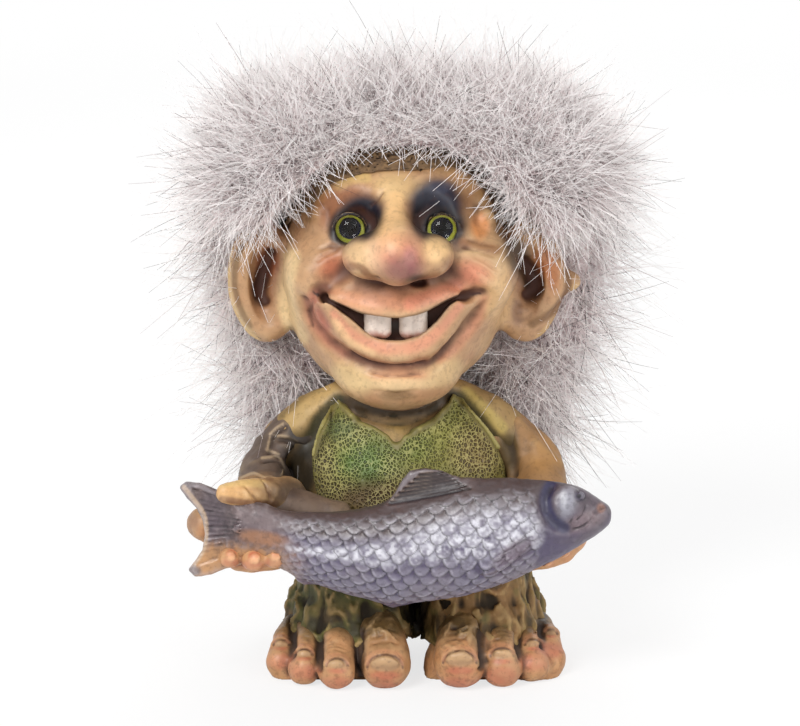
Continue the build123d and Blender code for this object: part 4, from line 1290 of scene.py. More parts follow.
def paintScales(paint, up, body, relief):
    # dark back, silver band with painted highlights on the raised scales, and each scale's painted shadow,
    # its pale rim, partly a painted highlight, and its dark line, both an outline and a painted shadow
    points, (rise, edge, rim, tint) = paint.points, relief
    grain = lumps(*points.T, 1.1, 35) * 0.5 + lumps(*points.T, 0.5, 36) * 0.5
    paint.mottle(6, (96, 84, 98), 0.7, 37)
    paint.cover(smooth(up + 0.1 * grain, 0.3, 0.62), fishLook["back"], 0.95)
    bandLine = np.interp(points[:, 0], [-30, -18, 0, 15, 30], [-0.05, 0.1, 0.22, 0.2, 0.1])
    bandWide = np.interp(points[:, 0], [-32, -18, 0, 15, 30], [0.05, 0.16, 0.32, 0.48, 0.46])
    band = 1 - smooth(np.abs(up - bandLine) / bandWide, 0.35, 1.25)
    paint.cover(band * body * (0.45 + 0.35 * tint + 0.8 * grain), fishLook["band"], 1.0)
    # painted highlights on the raised parts of the scales in the band
    paint.cover(band * body * smooth(rise, 0.4, 0.9) * smooth(grain, -0.2, 0.4), (226, 226, 232), 0.6)
    paint.cover(body * (1 - smooth(rise, 0.0, 0.5)), (70, 60, 84), 0.35)
    # the pale rim: a net line and a painted highlight
    paint.cover(rim * body * smooth(grain + 0.3 * tint, 0.0, 0.5), (176, 172, 186), 0.4)
    # the dark line at each free edge: an outline and a painted shadow
    paint.cover(edge * body * (0.55 + 0.45 * smooth(grain, -0.4, 0.2)), fishLook["line"], 0.85)
    tailSide = 1 - smooth(points[:, 0] + 2 * grain, -34, -20)
    paint.cover(tailSide, (98, 82, 80), 0.8)
    paint.cover(tailSide * smooth(grain, -0.1, 0.5), (150, 136, 136), 0.5)
    low = tailSide * (1 - smooth(points[:, 2] + grain, 31.5, 35.5))
    paint.cover(low, (188, 140, 92), 0.85)


def paintFins(paint):
    paint.dab((212, 512), (15, 22), (82, 72, 80), 0.7, 10)
    paint.stroke(
        [(184, 487), (193, 499), (203, 513), (206, 530), (203, 550), (193, 566)], 2.4, (184, 158, 132), 0.85,
    )
    paint.dab((193, 571), (8, 5), (96, 92, 96), 0.8)
    paint.dab((262, 538), (26, 7), (150, 104, 70), 0.75, 8)
    paint.dab((262, 520), (34, 8), (120, 106, 108), 0.6, 8)
    paint.stroke([(396, 500), (412, 478), (440, 476), (466, 484)], 10, (86, 68, 66), 0.7)
    # painted shade in the grooves between the dorsal fin's ribs, and a painted highlight along each rib
    for i in range(7):
        paint.stroke(
            [(390 + 5 * i, 503 - 4.6 * i), (430 + 0.2 * i, 496 - 3.6 * i), (470 - 4.5 * i, 489 - 2.8 * i)],
            1.5, (34, 27, 26), 0.8,
        )
        paint.stroke(
            [(391 + 5 * i, 500 - 4.6 * i), (431 + 0.2 * i, 493 - 3.6 * i)], 1.0, (150, 132, 118), 0.5,
        )


def paintFishHead(paint):
    paint.dab((573, 510), (38, 32), (90, 80, 88), 0.95, 0, 0.25)
    paint.dab((592, 508), (14, 20), (88, 76, 84), 0.7)
    paint.dab((566, 528), (26, 12), (74, 66, 90), 0.8, -15)
    paint.dab((582, 522), (24, 9), (120, 102, 104), 0.7, -20)
    paint.stroke([(551, 484), (546, 496), (547, 509), (553, 520), (564, 528)], 6, (46, 44, 76), 0.95)
    paint.dab((567, 503), (8, 14), (150, 150, 160), 0.8, 10, 0.7)
    # a painted highlight on the cheek plate
    paint.dab((564, 499), (3, 7), (196, 196, 202), 0.6, 0, 0.8)
    paint.dab((580, 496), (5.5, 5), (62, 56, 74), 0.9)
    paint.dab((579, 496), (2.4, 2.2), (20, 18, 24), 0.9)
    paint.dab((601, 508), (4, 5), (150, 108, 90), 0.7)
    paint.dab((514, 552), (22, 9), (104, 90, 100), 0.75, -33)


def makeFish():
    clay = Clay((-51.5, -38.5, 16.5), (44.5, -21, 50.5), fishLook["cell"])
    clay.add(fishForm(), 0.1)
    shapeFins(clay)
    shapeFishHead(clay)
    clay.roughen((0.14, 4.0, 31), (0.07, 1.0, 32))
    points, normals, quads = surfaceOf(clay)
    up, body, relief = scalesOn(points)
    points = points + normals * ((relief[0] - 0.5) * fishLook["relief"] * 2 * body)[:, None]
    piece = cast("fishCasting", clay, (points, normals, quads), "fish", ((0.6, 2.4), (1.8, 0.9)))
    paint = Paint(points, normals, fishLook["belly"])
    paintScales(paint, up, body, relief)
    paintFins(paint)
    paintFishHead(paint)
    finishPaint(piece, paint, paintedCast("paintedFish", fishLook))


# sleeves, hands
armLook = {
    "cell": 0.4,
    "rightSleeve": (92, 76, 66), "leftSleeve": (150, 114, 76), "torn": (178, 156, 128), "dark": (26, 20, 17),
    # the wash below also paints shade in the hollows, the rub also paints highlights on the ridges
    "washAndShadeColour": (40, 29, 20), "washAndShade": 0.85, "rubAndHighlightColour": (176, 150, 112), "rubAndHighlight": 0.35,
    "speckle": 0.2, "gloss": 0.48, "grain": 0.06, "specular": 0.35,
}
handLook = {
    "cell": 0.33, "skin": (188, 140, 98),
    # the wash below also paints shade in the hollows, the rub also paints highlights on the ridges
    "washAndShadeColour": (86, 46, 32), "washAndShade": 0.9, "rubAndHighlightColour": (230, 190, 142), "rubAndHighlight": 0.3,
    "speckle": 0.15, "gloss": 0.38, "grain": 0.04, "specular": 0.4,
}
arms = {
    "right": [(-23.8, -1, 49.6), (-29.8, -4.0, 43.2), (-31.4, -13.6, 40.0), (-30.5, -20.5, 40.8)],
    "left": [(19.8, -1, 49.6), (26.6, -4.0, 43.6), (28.4, -13.6, 37.8), (29.6, -20.5, 35.4)],
}
tornEdges = (
    [(270, 438), (267, 450), (279, 454)], [(275, 435), (288, 437), (297, 442)],
    [(262, 458), (278, 457), (284, 468), (280, 480)],
    [(240, 478), (254, 473), (264, 478), (278, 482)], [(283, 424), (276, 428), (270, 434)],
)


def makeSleeves():
    material = paintedCast("paintedSleeve", armLook)
    for side, course in arms.items():
        ragged = side == "right"
        low, high = np.min(course, 0) - 12, np.max(course, 0) + (19 if ragged else 11)
        low[2] = min(low[2], 27)
        clay = Clay(low, high, armLook["cell"])
        clay.add(limb(course, (6.6, 6.5, 6.1, 4.8)), 1.0)
        if ragged:
            clay.add(
                limb([(-31, -19.0, 40.2), (-24, -21.0, 39.2), (-15.5, -22.0, 37.6)], (4.4, 3.9, 3.2)), 3.0,
            )
        if ragged:
            x, y, z = clay.grid()[1:]
            clay.field += 0.5 * np.abs(lumps(x, y, z, 5.5, 41)) + 0.25 * lumps(x, y, z, 2.2, 42) - 0.15
            for line in tornEdges:
                clay.ridge(line, 0.42, 0.4, 0.2)
                clay.groove([(px + 1.5, py + 4) for px, py in line], 0.5, 0.6)
            clay.cut(egg(clay.seat(296, 466, 0.6), (2.6, 3.4, 4.6), (0, 15, 0)), 1.2)
        else:
            clay.roughen((0.3, 6.0, 43), (0.12, 2.2, 44))
            for line in ([(518, 424), (530, 438), (538, 455)], [(534, 444), (546, 454), (558, 464)]):
                clay.ridge(line, 0.8, 2.0, 0.8)
            clay.groove([(506, 430), (512, 450), (514, 474)], 0.9, 1.8, 0.2)
        piece, points, normals = sculpted(f"{side}SleeveCasting", clay, f"{side}_sleeve", 0.7, 1.8)
        paint = Paint(points, normals, armLook[f"{side}Sleeve"])
        paint.mottle(6, (78, 64, 54) if ragged else (128, 92, 54), 0.7, 6)
        paint.mottle(2.0, (122, 104, 88) if ragged else (172, 132, 84), 0.4, 7, 0.1, 0.9)
        if ragged:
            for line in tornEdges:
                paint.stroke(line, 1.3, armLook["torn"], 0.75)
            # painted shade in the hole in the sleeve and beside the vest
            paint.dab((296, 466), (17, 24), armLook["dark"], 0.95)
            paint.dab((300, 438), (13, 22), (38, 32, 27), 0.85)
            paint.dab((310, 500), (40, 14), (104, 84, 70), 0.7, 20)
            paint.dab((250, 483), (20, 8), (170, 128, 78), 0.6, -20)
            paint.dab((282, 492), (20, 6), (60, 46, 40), 0.7, 8)
        else:
            # painted shade where the left sleeve meets the body
            paint.dab((508, 448), (10, 30), (74, 62, 34), 0.85)
            paint.dab((548, 452), (16, 22), (172, 128, 76), 0.6, 40)
        finishPaint(piece, paint, material)


def makeHands():
    material = paintedCast("paintedHand", handLook)
    # the pixel, radius and depth of each finger's tip
    tips = {
        "right": [
            (230, 558, 2.2, -31.2), (253, 560, 2.35, -31.8), (275, 558, 2.1, -31.4), (290, 556, 1.6, -30.6),
        ],
        "left": [
            (528, 563, 1.8, -30.5), (545, 558, 1.8, -30.5), (562, 549, 1.75, -30.0), (577, 539, 1.6, -29.5),
        ],
    }
    palms = {
        "right": [(-38.4, -24.2, 33.6), (-29.0, -24.2, 31.4)],
        "left": [(25.6, -24.0, 31.4), (33.4, -23.6, 34.2)],
    }
    for side, course in arms.items():
        over = side == "right"
        palm = np.array(palms[side])
        middle = palm.mean(0)
        clay = Clay((middle[0] - 15.5, -40.5, 21.5), (middle[0] + 13.5, -9.5, 49.5), handLook["cell"])
        clay.add(limb([np.array(course[2]) - (0, 1, 3.5), middle], (4.9, 4.8)), 0.5)
        clay.add(limb(palm, (5.0, 4.8)), 2.0)
        for px, py, radius, y in tips[side]:
            x, z = onPlane(px, py, y)
            tip = np.array([x, y, z])
            root = tip * 0.3 + middle * 0.7 + (0.35 * (x - middle[0]), 0, -3.0)
            clay.add(limb([root, tip + (0, 3.6, -0.6), tip], (radius * 1.1, radius, radius)), 1.3)
            if over:
                clay.add(egg(tip + (0.3, -radius * 0.8, 0.9), (1.2, 0.6, 1.2), (-20, 0, 0)), 0.15)
        if over:
            clay.add(
                limb(
                    [(-26.5, -17.5, 40.5), (-31.0, -24.5, 43.2), (-36.0, -29.6, 44.8), (-39.0, -31.4, 45.2)],
                    (4.2, 3.4, 2.8, 2.1),
                ),
                1.6,
            )
            clay.add(limb([(-37.5, -23.4, 34.0), (-43.8, -24.8, 36.6)], (4.4, 3.7)), 1.6)
            clay.groove([(246, 486), (252, 494), (258, 503)], 0.35, 0.5, -0.1)
            clay.groove([(262, 480), (268, 490), (272, 500)], 0.35, 0.5, -0.1)
        clay.field = np.maximum(clay.field, -fishForm()[0](*clay.grid()[1:]))
        clay.roughen((0.2, 3.4, 51), (0.1, 1.2, 52))
        piece, points, normals = sculpted(f"{side}HandCasting", clay, f"{side}_hand", 0.6, 1.6)
        paint = Paint(points, normals, handLook["skin"])
        paint.mottle(3, (178, 118, 80), 0.7, 8)
        paint.cover(smooth(points[:, 2], 38, 41), (202, 158, 104), 0.85)
        paint.mottle(1.8, (224, 188, 140), 0.4, 9)
        paint.stroke([(218, 484), (240, 482), (262, 484)], 4, (226, 192, 126), 0.7)
        paint.stroke([(222, 499), (246, 503), (276, 504)], 3.5, (112, 72, 50), 0.8)
        paint.dab((298, 494), (36, 18), (84, 68, 58), 0.95, 10, 0.6)
        paint.stroke([(240, 476), (256, 473), (272, 480)], 2.0, (120, 84, 58), 0.7)
        paint.dab((190, 523), (9, 16), (138, 108, 88), 0.8)
        for px, py, radius, y in tips[side]:
            size = radius / pixel
            paint.dab((px, py + size * 0.5), (size, size * 0.5), (178, 104, 82), 0.7)
            paint.dab((px + 1, py - size * 0.4), (size * 0.5, size * 0.45), (190, 78, 58), 0.6)
            paint.dab((px + 1, py + 1), (size * 0.45, size * 0.3), (226, 170, 130), 0.6)
        finishPaint(piece, paint, material)


# trousers: moss-green rags
trouserLook = {
    "cell": 0.5,
    "moss": (92, 88, 44), "brown": (142, 106, 66), "pale": (190, 158, 108),
    # the wash below also paints shade in the hollows, the rub also paints highlights on the ridges
    "washAndShadeColour": (34, 26, 16), "washAndShade": 0.9, "rubAndHighlightColour": (176, 146, 96), "rubAndHighlight": 0.4,
    "speckle": 0.2, "gloss": 0.5, "grain": 0.08, "specular": 0.3,
}
hips = (
    (-0.7, -1.0, 17.0), (15.5, 23.4, 18.0, 16.8),
    ((0, 0.95, 0.94, 0.94), (0.5, 1, 1, 1), (1, 0.97, 0.98, 0.98)),
)
legSize = (19.0, 12.2, 16.0, 14.0)
legLevels = (
    (0, 1.22, 1.30, 1.06), (0.2, 1.14, 1.18, 1.02), (0.42, 1.02, 1.04, 1.0), (1, 0.90, 0.97, 0.97),
)


def rags(x, y, z, seed):
    # torn flowing folds: ridged noise whose place is itself pushed about
    push = 2.6 * lumps(x, y, z, 5.0, seed)
    first = 1 - np.abs(lumps(x + push, y - push, z * 0.4 + push, 3.0, seed + 1))
    second = 1 - np.abs(lumps(x - push, y + push, z * 0.3, 1.3, seed + 2))
    return first**2 * 0.9 + second**2 * 0.35


def makeTrousers():
    clay = Clay((-33, -27, 4.5), (34.5, 20, 33.5), trouserLook["cell"])
    clay.add(levelForm(*hips), 0.4)
    for x, side in ((-12.6, -1), (15.0, 1)):
        clay.add(levelForm((x, -1.5, 6.5), legSize, legLevels), 2.0)
        for number, a in enumerate(np.linspace(0, 2 * math.pi, 17)[:-1]):
            if side * math.cos(a) < -0.75:
                continue
            start = (x + 12.2 * math.cos(a), -1.5 + 16.0 * math.sin(a), 14.0)
            end = (x + 14.6 * math.cos(a + 0.15), -1.5 + 19.6 * math.sin(a + 0.15), 8.6 - 1.5 * (number % 2))
            clay.add(limb([start, end], (1.9, 1.2)), 1.6)
    x, y, z = clay.grid()[1:]
    clay.field += 0.9 - 1.15 * rags(x, y, z, 61) + 0.15 * lumps(x, y, z, 1.2, 64)
    clay.field = np.maximum(clay.field, z - 31.2)
    piece, points, normals = sculpted("trousersCasting", clay, "trousers", 0.8, 2.2)
    paint = Paint(points, normals, trouserLook["moss"])
    fold = rags(*points.T, 61)
    paint.mottle(6, trouserLook["brown"], 0.9, 9, 0.1, 0.6)
    paint.dab((345, 592), (56, 26), (70, 74, 32), 0.8, 0, 0.7)
    paint.dab((484, 604), (74, 34), (142, 104, 64), 0.85, 0, 0.7)
    # painted highlights on the crests of the rags and painted shade in their troughs
    paint.cover(smooth(fold, 0.85, 1.25), trouserLook["pale"], 0.6)
    paint.cover(1 - smooth(fold, 0.35, 0.8), (40, 32, 20), 0.75)
    # painted shade in the gap between the legs
    paint.dab((417, 622), (10, 36), (16, 12, 9), 0.95)
    paint.mottle(2.2, (110, 104, 52), 0.5, 10, 0.2, 0.8)
    finishPaint(piece, paint, paintedCast("paintedTrousers", trouserLook))


# feet
footLook = {
    "middles": {"right": -15.2, "left": 17.8}, "cell": 0.4,
    "skin": (182, 134, 92), "pink": (184, 112, 88), "nail": (178, 142, 106), "top": (92, 76, 44),
    # the wash below also paints shade in the hollows, the rub also paints highlights on the ridges
    "washAndShadeColour": (48, 32, 22), "washAndShade": 1.0, "rubAndHighlightColour": (218, 180, 132), "rubAndHighlight": 0.3,
    "speckle": 0.3, "gloss": 0.38, "grain": 0.06, "specular": 0.4,
}
# toes: the pixel of the ball, its radius, how far forward it reaches, and the nail's half size
toes = {
    "right": [
        (385, 668, 5.6, -30.0, 3.5), (337, 667, 4.3, -29.4, 2.1), (304, 656, 3.6, -26.0, 1.7),
        (281, 646, 3.4, -21.0, 1.5),
    ],
    "left": [
        (460, 664, 5.8, -30.0, 3.3), (502, 657, 4.4, -28.0, 2.3), (533, 646, 3.7, -24.0, 1.6),
        (551, 635, 3.4, -19.0, 1.2),
    ],
}


# the foot from its front to its heel: how far along Y, half as wide, and how high
footStations = np.array([
    (-20, 14.6, 7.4), (-14, 14.8, 10.6), (-7, 13.2, 13.4), (4, 11.4, 15.0), (14, 9.6, 12.8), (20, 6.5, 6.5),
]).T


def soleForm(middle):
    # a squared oval whose width and height change along the foot
    def distance(x, y, z):
        wide, high = (np.interp(y, footStations[0], row) for row in footStations[1:])
        near = (np.abs((x - middle) / wide) ** 2.7 + np.abs(z / high) ** 2.7) ** (1 / 2.7) + 1e-6
        away = np.sqrt((x - middle) ** 2 + z**2)
        sides = np.where(near < 0.05, -high, away - away / near)
        ends = np.maximum(-20.5 - y, y - 20) + 0 * sides
        return -softMin(-sides, -ends, 4.0)

    return distance, np.array([middle - 17, -21.5, -1.0]), np.array([middle + 17, 21.0, 16.0])


def cuticle(px, py, size, wide, high, turns):
    # an arc drawn over a nail
    rise = py + size * 0.30
    return [(px + size * wide * math.cos(a), rise - size * high * math.sin(a)) for a in turns]


def shapeNail(clay, px, py, size):
    # a nail in its bed, a cuticle over it and creases behind
    arc = cuticle(px, py, size, 1.08, 0.74, np.linspace(-0.15, math.pi + 0.15, 11))
    clay.ridge(arc, 0.55, 0.7, 0.25)
    radii = (size * pixel * 0.92, 1.1, size * pixel * 0.56)
    clay.add(egg(clay.seat(px, py + size * 0.1, 0.5), radii, (25, 0, 0)), 0.25)
    clay.groove(arc, 0.22, 0.25, -0.1)
    for lift in (1.35, 1.75, 2.1):
        crease = [(px + step * size * 0.8, py - size * (lift - 0.2 * abs(step))) for step in (-1, 0, 1)]
        clay.groove(crease, 0.18, 0.5)


def shapeFoot(clay, middle, rows):
    clay.add(soleForm(middle), 0.2)
    nails = []
    for number, (px, py, radius, front, nail) in enumerate(rows):
        x, z = onPlane(px, py, front + radius)
        tip = np.array([x, front + radius, radius - 0.3])
        root = np.array([middle + (x - middle) * 0.78, front + radius + 12.0, radius + 3.4])
        knuckle = tip * 0.55 + root * 0.45 + (0, 0, 1.4)
        clay.add(limb([root, knuckle, tip], (radius * 1.0, radius * 0.98, radius)), 1.0)
        nails.append((px, py - radius * (0.9 if number else 1.0), nail / pixel, radius))
    gaps = [((a[0] + b[0]) / 2, (a[1] + b[1]) / 2) for a, b in zip(rows, rows[1:])]
    for px, py in gaps:
        clay.groove([(px, py - 34), (px, py - 16), (px, py + 4)], (0.5, 0.9, 0.9), 1.4, 0.2)
    for px, py, size, radius in nails:
        shapeNail(clay, px, py, size)
    clay.roughen((0.2, 3.0, 72), (0.08, 1.1, 73))
    # the trousers' rags lie over the top of the foot
    x, y, z = clay.grid()[1:]
    clay.field += (0.9 - 1.3 * rags(x, y, z, 71)) * smooth(z - 0.35 * (y + 20), 11.0, 14.0)
    clay.field = np.maximum(clay.field, -z)
    return nails, gaps


def paintFoot(paint, nails, gaps):
    x, y, z = paint.points.T
    paint.mottle(4, (170, 118, 76), 0.7, 11)
    paint.mottle(1.6, (204, 162, 118), 0.4, 12)
    paint.mottle(0.9, (116, 78, 54), 0.35, 15, 0.25, 0.9)
    high = smooth(z + 0.22 * (y + 22) + 1.8 * lumps(x, y, z, 3.0, 13), 8.5, 12.5)
    paint.cover(high, footLook["top"], 0.85)
    paint.cover(high * smooth(lumps(x, y, z, 4.0, 14), 0, 0.5), (132, 100, 58), 0.7)
    # painted shade between the toes
    for px, py in gaps:
        paint.stroke([(px, py - 36), (px, py - 16), (px, py + 8)], (5, 5, 3), (38, 26, 18), 0.8)
    for px, py, size, radius in nails:
        ball = radius / pixel
        paint.dab((px, py + ball * 1.15), (ball * 0.9, ball * 0.5), footLook["pink"], 0.7)
        paint.dab((px, py + size * 0.8), (size * 0.9, size * 0.25), (184, 100, 80), 0.6)
        paint.dab((px, py + size * 0.05), (size * 1.0, size * 0.5), footLook["nail"], 0.9, 0, 0.2)
        arc = cuticle(px, py, size, 1.1, 0.78, np.linspace(0, math.pi, 9))
        paint.stroke(arc, 1.3, (70, 42, 30), 0.85)
        paint.stroke([(x, y - 3.5) for x, y in arc], 2.2, (206, 146, 110), 0.5)


def makeFeet():
    material = paintedCast("paintedFoot", footLook)
    for side, rows in toes.items():
        middle = footLook["middles"][side]
        clay = Clay((middle - 19, -33.5, -1.2), (middle + 19, 21, 17), footLook["cell"])
        nails, gaps = shapeFoot(clay, middle, rows)
        piece, points, normals = sculpted(f"{side}FootCasting", clay, f"{side}_foot", 0.7, 1.8)
        paint = Paint(points, normals, footLook["skin"])
        paintFoot(paint, nails, gaps)
        finishPaint(piece, paint, material)


makeTorso()
makeVest()
makeFish()
makeSleeves()
makeHands()
makeTrousers()
makeFeet()

# fur wig
furLook = {
    "baseCell": 1.1, "inset": 8.5,
    "root": (236, 218, 218), "tip": (255, 251, 250), "dark": (120, 92, 92), "guard": (66, 44, 42),
    "strands": 54000, "guardHairs": 2400,
    "reach": ((-61.0, -48.0, 0.0), (61.0, 49.0, 146.0)),
}
strandLook = {
    "Length": 13.0, "Spread": 0.6, "Lift": 0.34, "Wander": 1.25, "Bend": 0.95, "Droop": 0.1,
    "Thickness": 0.105, "Steps": 4,
}
guardLook = {
    "Length": 14.0, "Spread": 0.6, "Lift": 0.45, "Wander": 1.1, "Bend": 0.8, "Droop": 0.1,
    "Thickness": 0.085, "Steps": 7,
}
coatLook = {
    "dark": (196, 174, 175), "pale": (250, 238, 238), "edges": (0.35, 0.65),
    "scale": 700, "harsh": 0.7, "depth": 0.6, "dull": 0.9,
}
hideLook = {
    "cell": 0.55, "dark": (82, 62, 44), "pale": (126, 98, 66), "edges": (0.3, 0.7),
    "scale": 600, "harsh": 0.65, "depth": 0.3, "dull": 0.85,
}


def makeFurTree():
    # strands on a surface: roots scattered on it, each one a tapered bent tube
    tree = bpy.data.node_groups.new("furStrands", "GeometryNodeTree")
    sockets = [
        (
            "Geometry", "NodeSocketGeometry", None,
        ), ("Density", "NodeSocketFloat", 1.0), ("Seed", "NodeSocketInt", 1),
        (
            "Length", "NodeSocketFloat", 0.015,
        ), ("Spread", "NodeSocketFloat", 0.5), ("Lift", "NodeSocketFloat", 0.5),
        (
            "Wander", "NodeSocketFloat", 0.5,
        ), ("Bend", "NodeSocketFloat", 0.5), ("Droop", "NodeSocketFloat", 0.1),
        (
            "Thickness", "NodeSocketFloat", 0.0001,
        ), ("Steps", "NodeSocketInt", 5), ("Material", "NodeSocketMaterial", None),
    ]
    for label, kind, default in sockets:
        socket = tree.interface.new_socket(label, in_out="INPUT", socket_type=kind)
        if default is not None:
            socket.default_value = default
    tree.interface.new_socket("Geometry", in_out="OUTPUT", socket_type="NodeSocketGeometry")
    given = tree.nodes.new("NodeGroupInput").outputs
    result = tree.nodes.new("NodeGroupOutput")

    def vectors(operation, first, second=None, scale=None):
        return vectorMaths(tree, operation, first, second, scale)

    def randomVector(step):
        seed = maths(tree, "ADD", given["Seed"], step)
        inputs = {0: (-1, -1, -1), 1: (1, 1, 1), 8: seed}
        return addNode(tree, "FunctionNodeRandomValue", inputs, data_type="FLOAT_VECTOR").outputs[0]

    def randomShare(step):
        seed = maths(tree, "ADD", given["Seed"], step)
        return addNode(
            tree, "FunctionNodeRandomValue", {2: 0.0, 3: 1.0, 8: seed}, data_type="FLOAT",
        ).outputs[1]

    def named(name, kind):
        return addNode(tree, "GeometryNodeInputNamedAttribute", {"Name": name}, data_type=kind).outputs[0]

    def keep(geometry, name, kind, field):
        inputs = {"Geometry": geometry, "Name": name, "Value": field}
        return addNode(
            tree, "GeometryNodeStoreNamedAttribute", inputs, data_type=kind, domain="POINT",
        ).outputs[0]

    # roots, each with the way it grows, its bend, its length and its tint
    inputs = {"Mesh": given["Geometry"], "Density": given["Density"], "Seed": given["Seed"]}
    scatter = addNode(tree, "GeometryNodeDistributePointsOnFaces", inputs)
    outward = vectors("SCALE", scatter.outputs["Normal"], scale=given["Lift"])
    combed = vectors(
        "SCALE", named("comb", "FLOAT_VECTOR"), scale=maths(tree, "SUBTRACT", 1.0, given["Lift"]),
    )
    way = vectors(
        "ADD", vectors("ADD", outward, combed), vectors("SCALE", randomVector(11), scale=given["Wander"]),
    )
    way = vectors("NORMALIZE", way)
    shorter = maths(tree, "SUBTRACT", 1.0, maths(tree, "MULTIPLY", randomShare(23), given["Spread"]))
    reach = maths(tree, "MULTIPLY", given["Length"], shorter)
    reach = maths(tree, "MULTIPLY", reach, named("furLength", "FLOAT"))
    points = scatter.outputs["Points"]
    points = keep(points, "root", "FLOAT_VECTOR", tree.nodes.new("GeometryNodeInputPosition").outputs[0])
    points = keep(points, "way", "FLOAT_VECTOR", way)
    points = keep(points, "curl", "FLOAT_VECTOR", randomVector(37))
    points = keep(points, "reach", "FLOAT", reach)
    points = keep(points, "tint", "FLOAT", randomShare(41))
    # one line for each root, bent from its place towards its tip and kept within the reach
    line = addNode(tree, "GeometryNodeCurvePrimitiveLine")
    line = addNode(tree, "GeometryNodeResampleCurve", {"Curve": line.outputs[0], "Count": given["Steps"]})
    strands = addNode(tree, "GeometryNodeInstanceOnPoints", {"Points": points, "Instance": line.outputs[0]})
    strands = addNode(tree, "GeometryNodeRealizeInstances", {0: strands.outputs[0]})
    along = tree.nodes.new("GeometryNodeSplineParameter").outputs["Factor"]
    square = maths(tree, "MULTIPLY", along, along)
    down = addNode(tree, "ShaderNodeCombineXYZ", {"Z": -1.0}).outputs[0]
    curl = vectors("SCALE", named("curl", "FLOAT_VECTOR"), scale=given["Bend"])
    turn = vectors("ADD", curl, vectors("SCALE", down, scale=given["Droop"]))
    ahead = vectors("SCALE", named("way", "FLOAT_VECTOR"), scale=along)
    course = vectors("ADD", ahead, vectors("SCALE", turn, scale=square))
    place = vectors(
        "ADD", named("root", "FLOAT_VECTOR"), vectors("SCALE", course, scale=named("reach", "FLOAT")),
    )
    low, high = ([side * mm for side in corner] for corner in furLook["reach"])
    place = vectors("MINIMUM", vectors("MAXIMUM", place, low), high)
    strands = addNode(tree, "GeometryNodeSetPosition", {"Geometry": strands.outputs[0], "Position": place})
    strands = keep(strands.outputs[0], "along", "FLOAT", along)
    ring = addNode(tree, "GeometryNodeCurvePrimitiveCircle", {"Resolution": 3, "Radius": 1.0})
    thin = maths(
        tree, "MULTIPLY", given["Thickness"],
        maths(tree, "SUBTRACT", 1.0, maths(tree, "MULTIPLY", along, 0.7)),
    )
    tubes = addNode(
        tree, "GeometryNodeCurveToMesh", {"Curve": strands, "Profile Curve": ring.outputs[0], "Scale": thin},
    )
    real = addNode(tree, "GeometryNodeRealizeInstances", {0: tubes.outputs[0]})
    finish = addNode(
        tree, "GeometryNodeSetMaterial", {"Geometry": real.outputs[0], "Material": given["Material"]},
    )
    tree.links.new(finish.outputs[0], result.inputs[0])
    return tree


furTree = makeFurTree()


def growFur(name, base, look, **settings):
    # one mesh of strands, grown on a base mesh; lengths in the look are in mm
    piece = placed(name + "Roots", base)
    modifier = piece.modifiers.new("fur", "NODES")
    modifier.node_group = furTree
    names = {item.name: item.identifier for item in furTree.interface.items_tree if item.in_out == "INPUT"}
    for label, setting in {**look, **settings}.items():
        modifier[names[label]] = setting * mm if label in ("Length", "Thickness") else setting
    bpy.context.view_layer.update()
    seen = piece.evaluated_get(bpy.context.evaluated_depsgraph_get())
    mesh = bpy.data.meshes.new_from_object(seen)
    piece.modifiers.remove(modifier)
    bpy.data.objects.remove(piece)
    for spare in ("root", "way", "curl", "reach", "comb", "furLength"):
        if spare in mesh.attributes:
            mesh.attributes.remove(mesh.attributes[spare])
    mesh.shade_smooth()
    dressed(placed(name, mesh), "fur_wig")
    print(f"{name}: {len(mesh.polygons)} faces")


def furMaterial(name, low, high, dark, share):
    material, tree, shader, place = newMaterial(name)
    colour = mixColour(tree, ramped(tree, value(tree, "along"), 0.0, 0.75), shade(low), shade(high))
    speck = ramped(tree, value(tree, "tint"), 1 - share, 1 - share + 0.02)
    colour = mixColour(tree, maths(tree, "MULTIPLY", speck, 0.75), colour, shade(dark))
    tint = maths(tree, "ADD", maths(tree, "MULTIPLY", noise(tree, place, 90, 3), 0.3), 0.85)
    link(tree, shaded(tree, colour, tint), shader.inputs["Base Color"])
    shader.inputs["Roughness"].default_value = 0.5
    shader.inputs["Specular IOR Level"].default_value = 0.35
    return material


def fluffy(name, look):
    # soft and uneven: two colours and a bump from one noise
    material, tree, shader, place = newMaterial(name)
    grain = noise(tree, place, look["scale"], 5, look["harsh"])
    low, high = look["edges"]
    colour = mixColour(tree, ramped(tree, grain, low, high), shade(look["dark"]), shade(look["pale"]))
    link(tree, colour, shader.inputs["Base Color"])
    bump = addNode(tree, "ShaderNodeBump", {"Height": grain, "Distance": look["depth"] * mm})
    link(tree, bump.outputs[0], shader.inputs["Normal"])
    shader.inputs["Roughness"].default_value = look["dull"]
    return material


def furForm(inset):
    shapes = [
        limb([(-21.4, 5, 105.2), (21.4, 5, 105.2)], 28 - inset),
        limb([(0, 10, 95), (0, 21.5, 51.5)], (28 - inset, 16.5 - inset * 0.7)),
    ]
    for side in (-1, 1):
        shapes.append(limb([(side * 27.4, 10, 95), (side * 22, 21.5, 51.5)], (22 - inset, 15 - inset * 0.7)))
    return shapes


